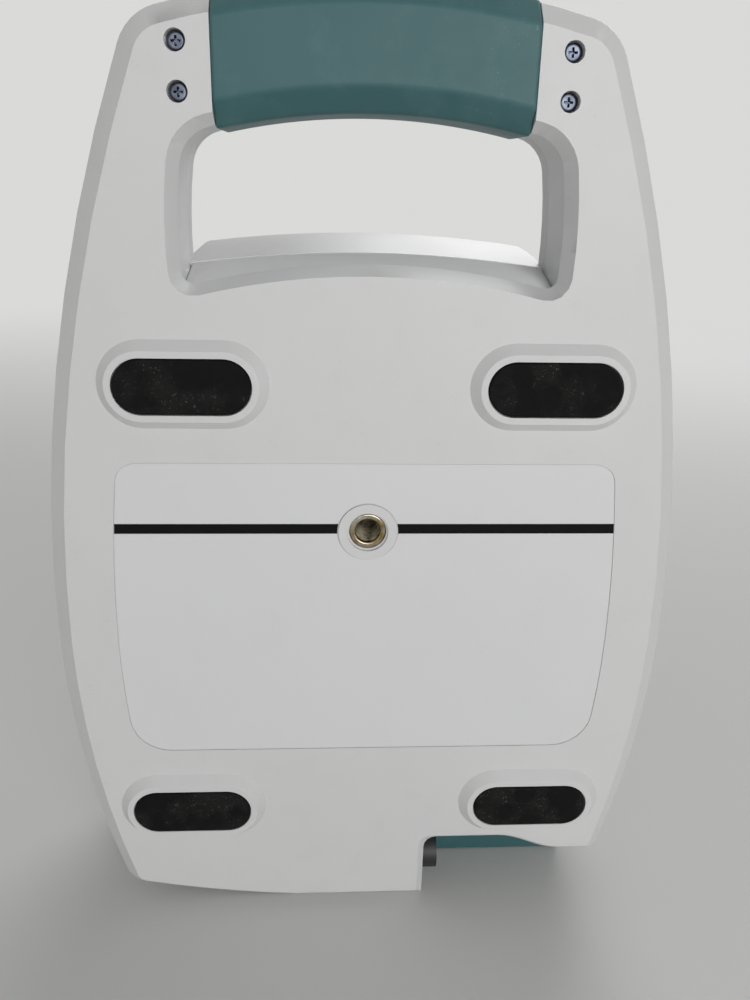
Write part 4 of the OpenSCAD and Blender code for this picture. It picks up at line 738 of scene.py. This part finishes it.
def addInsert():
    half = insertForm["length"] / 2
    centre = bench(0, insertForm["mouth"] + half, insertForm["height"])
    deselectAll()
    bpy.ops.mesh.primitive_cylinder_add(vertices=64, radius=insertForm["radius"] * mm,
                                        depth=insertForm["length"] * mm,
                                        end_fill_type="NOTHING", location=centre,
                                        rotation=(math.radians(-90), 0, 0))
    bush = bpy.context.active_object
    settle(bush)
    useModifier(bush, "SOLIDIFY", {"thickness": (insertForm["radius"] - insertForm["bore"]) * mm,
                                   "offset": -1,
                                   "use_even_offset": True})
    face = centre.y + half * mm

    def ringEdge(a, b, outward):
        return outward and a.y > face - 0.1 * mm and b.y > face - 0.1 * mm

    roundEdges(bush, [{"width": insertForm["chamfer"], "segments": 3, "where": ringEdge}])
    # the thread's ridge, a small triangle run round the bore
    deselectAll()
    bpy.ops.mesh.primitive_circle_add(vertices=3, radius=0.5 * mm, fill_type="NOTHING",
                                      location=(insertForm["crest"] * mm + 0.45 * mm, 0, 0),
                                      rotation=(0, 0, math.radians(90)))
    ridge = bpy.context.active_object
    settle(ridge)
    useModifier(ridge, "SCREW",
                {"axis": "Y", "angle": math.radians(360), "screw_offset": insertForm["pitch"] * mm,
                                 "iterations": insertForm["turns"], "steps": 32, "render_steps": 32,
                                 "use_merge_vertices": True})
    ridge.location = (centre.x, centre.y - (half - 0.7) * mm, centre.z)
    settle(ridge)
    faceOutwards(ridge)
    # the bore's closed lower end, in the darker thread nickel: painted shade of the deep bore
    deselectAll()
    bpy.ops.mesh.primitive_circle_add(vertices=48, radius=insertForm["bore"] * mm, fill_type="NGON",
                                      location=(centre.x, centre.y - (half - 1.2) * mm, centre.z),
                                      rotation=(math.radians(-90), 0, 0))
    floor = bpy.context.active_object
    settle(floor)
    editWith(floor, "FACE", [0])
    bpy.ops.mesh.inset(thickness=0.6 * mm)
    bpy.ops.transform.translate(value=(0, -0.5 * mm, 0))
    leaveEdit()
    thread = joinPieces(ridge, floor)
    thread.name = "insertThread"
    finishSurface(thread, 40)
    # the thread and the closed end take the darker nickel, painted shade of the deep bore
    dress(thread, materials["threadNickelPaintedShade"], "console", "nickel")
    bush.name = "standInsert"
    finishSurface(bush, 40)
    # the bush's brass-toned patches are a painted glint
    dress(bush, materials["nickelPlatePaintedGlint"], "console", "nickel", "stand_insert")


addInsert()


# keys, release button, display frame, printer door and battery: caps and rims with their small radii
print("front pieces")
smallPieces = {
    "softKeyCap1": {"node": "soft_key_1", "body": "key_1", "finish": "keyAbs", "slot": "key", "edge": 0.3},
    "softKeyCap2": {"node": "soft_key_2", "body": "key_2", "finish": "keyAbs", "slot": "key", "edge": 0.3},
    "softKeyCap3": {"node": "soft_key_3", "body": "key_3", "finish": "keyAbs", "slot": "key", "edge": 0.3},
    "softKeyCap4": {"node": "soft_key_4", "body": "key_4", "finish": "keyAbs", "slot": "key", "edge": 0.3},
    "powerKeyCap": {"node": "power_key", "body": "power", "finish": "tealKeyAbs", "slot": "teal_key",
                    "edge": 0.3},
    "releaseCap": {"node": "door_button", "body": "release", "finish": "tealKeyAbs", "slot": "teal_key",
                   "edge": 0.4},
    "displayFrame": {"node": "display_bezel", "body": "console", "finish": "bezelAbs", "slot": "bezel",
                     "edge": 0.3},
    "printerLid": {"node": "printer_door", "body": "door", "finish": "shellAbs", "slot": "shell",
                   "edge": 0.25},
    "batteryBlock": {"node": "battery_pack", "body": "battery", "finish": "batteryAbs", "slot": "battery",
                     "edge": 0.4},
}


def outwardEdge(a, b, outward):
    return outward


for pieceName, form in smallPieces.items():
    piece = copyNode(form["node"], pieceName)
    roundEdges(piece, [{"width": form["edge"], "segments": 2, "angle": 25, "where": outwardEdge}])
    finishSurface(piece)
    dress(piece, materials[form["finish"]], form["body"], form["slot"], form["node"])


# stage and light
print("stage")
stageLook = {"floor": "#CFCFCD", "size": 40, "pale": "#DADAD8", "near": 0.45, "far": 1.6}


def addStage():
    # pale floor that runs into the background's own tone further out, and keeps the shadow near by
    deselectAll()
    bpy.ops.mesh.primitive_plane_add(size=stageLook["size"], location=(0, 0, -0.05 * mm))
    floor = bpy.context.active_object
    floor.name = "studioFloor"
    material, tree, place = newMaterial("matStage")
    cloud = addNode(tree, "ShaderNodeTexNoise", {"Scale": perMetre(400), "Detail": 2.0}, {"Vector": place})
    mix = addNode(tree, "ShaderNodeMix", {"data_type": "RGBA", 6: tint(stageLook["floor"]),
                                          7: tint("#D3D3D1")},
                  {0: cloud.outputs["Fac"]})
    shader = addNode(tree, "ShaderNodeBsdfPrincipled", {"Roughness": 0.9}, {"Base Color": mix.outputs[2]})
    reach = addNode(tree, "ShaderNodeVectorMath", {"operation": "LENGTH"}, {0: place})
    away = addNode(tree, "ShaderNodeMapRange",
                   {"interpolation_type": "SMOOTHSTEP", "From Min": stageLook["near"],
                                                "From Max": stageLook["far"]},
                                                {"Value": reach.outputs["Value"]})
    rays = addNode(tree, "ShaderNodeLightPath")
    seen = addNode(tree, "ShaderNodeMath", {"operation": "MAXIMUM"},
                   {0: rays.outputs["Is Camera Ray"], 1: rays.outputs["Is Glossy Ray"]})
    seenAll = addNode(tree, "ShaderNodeMath", {"operation": "MAXIMUM"},
                      {0: seen.outputs[0], 1: rays.outputs["Is Transmission Ray"]})
    share = addNode(tree, "ShaderNodeMath", {"operation": "MULTIPLY"},
                    {0: seenAll.outputs[0], 1: away.outputs["Result"]})
    pale = addNode(tree, "ShaderNodeEmission", {"Color": tint(stageLook["pale"]), "Strength": 1.0})
    both = addNode(tree, "ShaderNodeMixShader", links={0: share.outputs[0], 1: shader.outputs["BSDF"],
                                                       2: pale.outputs[0]})
    addNode(tree, "ShaderNodeOutputMaterial", links={"Surface": both.outputs[0]})
    floor.data.materials.append(material)


def addLamp(name, place, aim, size, power):
    deselectAll()
    bpy.ops.object.light_add(type="AREA", location=Vector(place))
    lamp = bpy.context.active_object
    lamp.name = name
    lamp.data.shape = "DISK"
    lamp.data.size = size
    lamp.data.energy = power
    lamp.rotation_euler = (Vector(aim) - Vector(place)).to_track_quat("-Z", "Y").to_euler()


def addWorld():
    world = bpy.data.worlds.new("studioWorld")
    bpy.context.scene.world = world
    world.use_nodes = True
    tree = world.node_tree
    for node in list(tree.nodes):
        tree.nodes.remove(node)
    rays = addNode(tree, "ShaderNodeLightPath")
    seen = addNode(tree, "ShaderNodeMath", {"operation": "MAXIMUM"},
                   {0: rays.outputs["Is Camera Ray"], 1: rays.outputs["Is Glossy Ray"]})
    seenAll = addNode(tree, "ShaderNodeMath", {"operation": "MAXIMUM"},
                      {0: seen.outputs[0], 1: rays.outputs["Is Transmission Ray"]})
    glow = addNode(tree, "ShaderNodeBackground", {"Color": tint("#FFFFFF"), "Strength": 0.32})
    pale = addNode(tree, "ShaderNodeBackground", {"Color": tint(stageLook["pale"]), "Strength": 1.0})
    mix = addNode(tree, "ShaderNodeMixShader", links={0: seenAll.outputs[0], 1: glow.outputs[0],
                                                      2: pale.outputs[0]})
    addNode(tree, "ShaderNodeOutputWorld", links={"Surface": mix.outputs[0]})


addStage()
addWorld()
addLamp("keyLamp", (-0.42, 1.42, 0.36), (0, 0, 0.15), 1.1, 12.5)
addLamp("fillLamp", (1.1, 0.95, 0.5), (0, 0, 0.15), 1.2, 1)
addLamp("frontLamp", (-0.5, -1.4, 1.1), (0, 0, 0.15), 1.2, 14)
bpy.context.scene.view_settings.view_transform = "Standard"
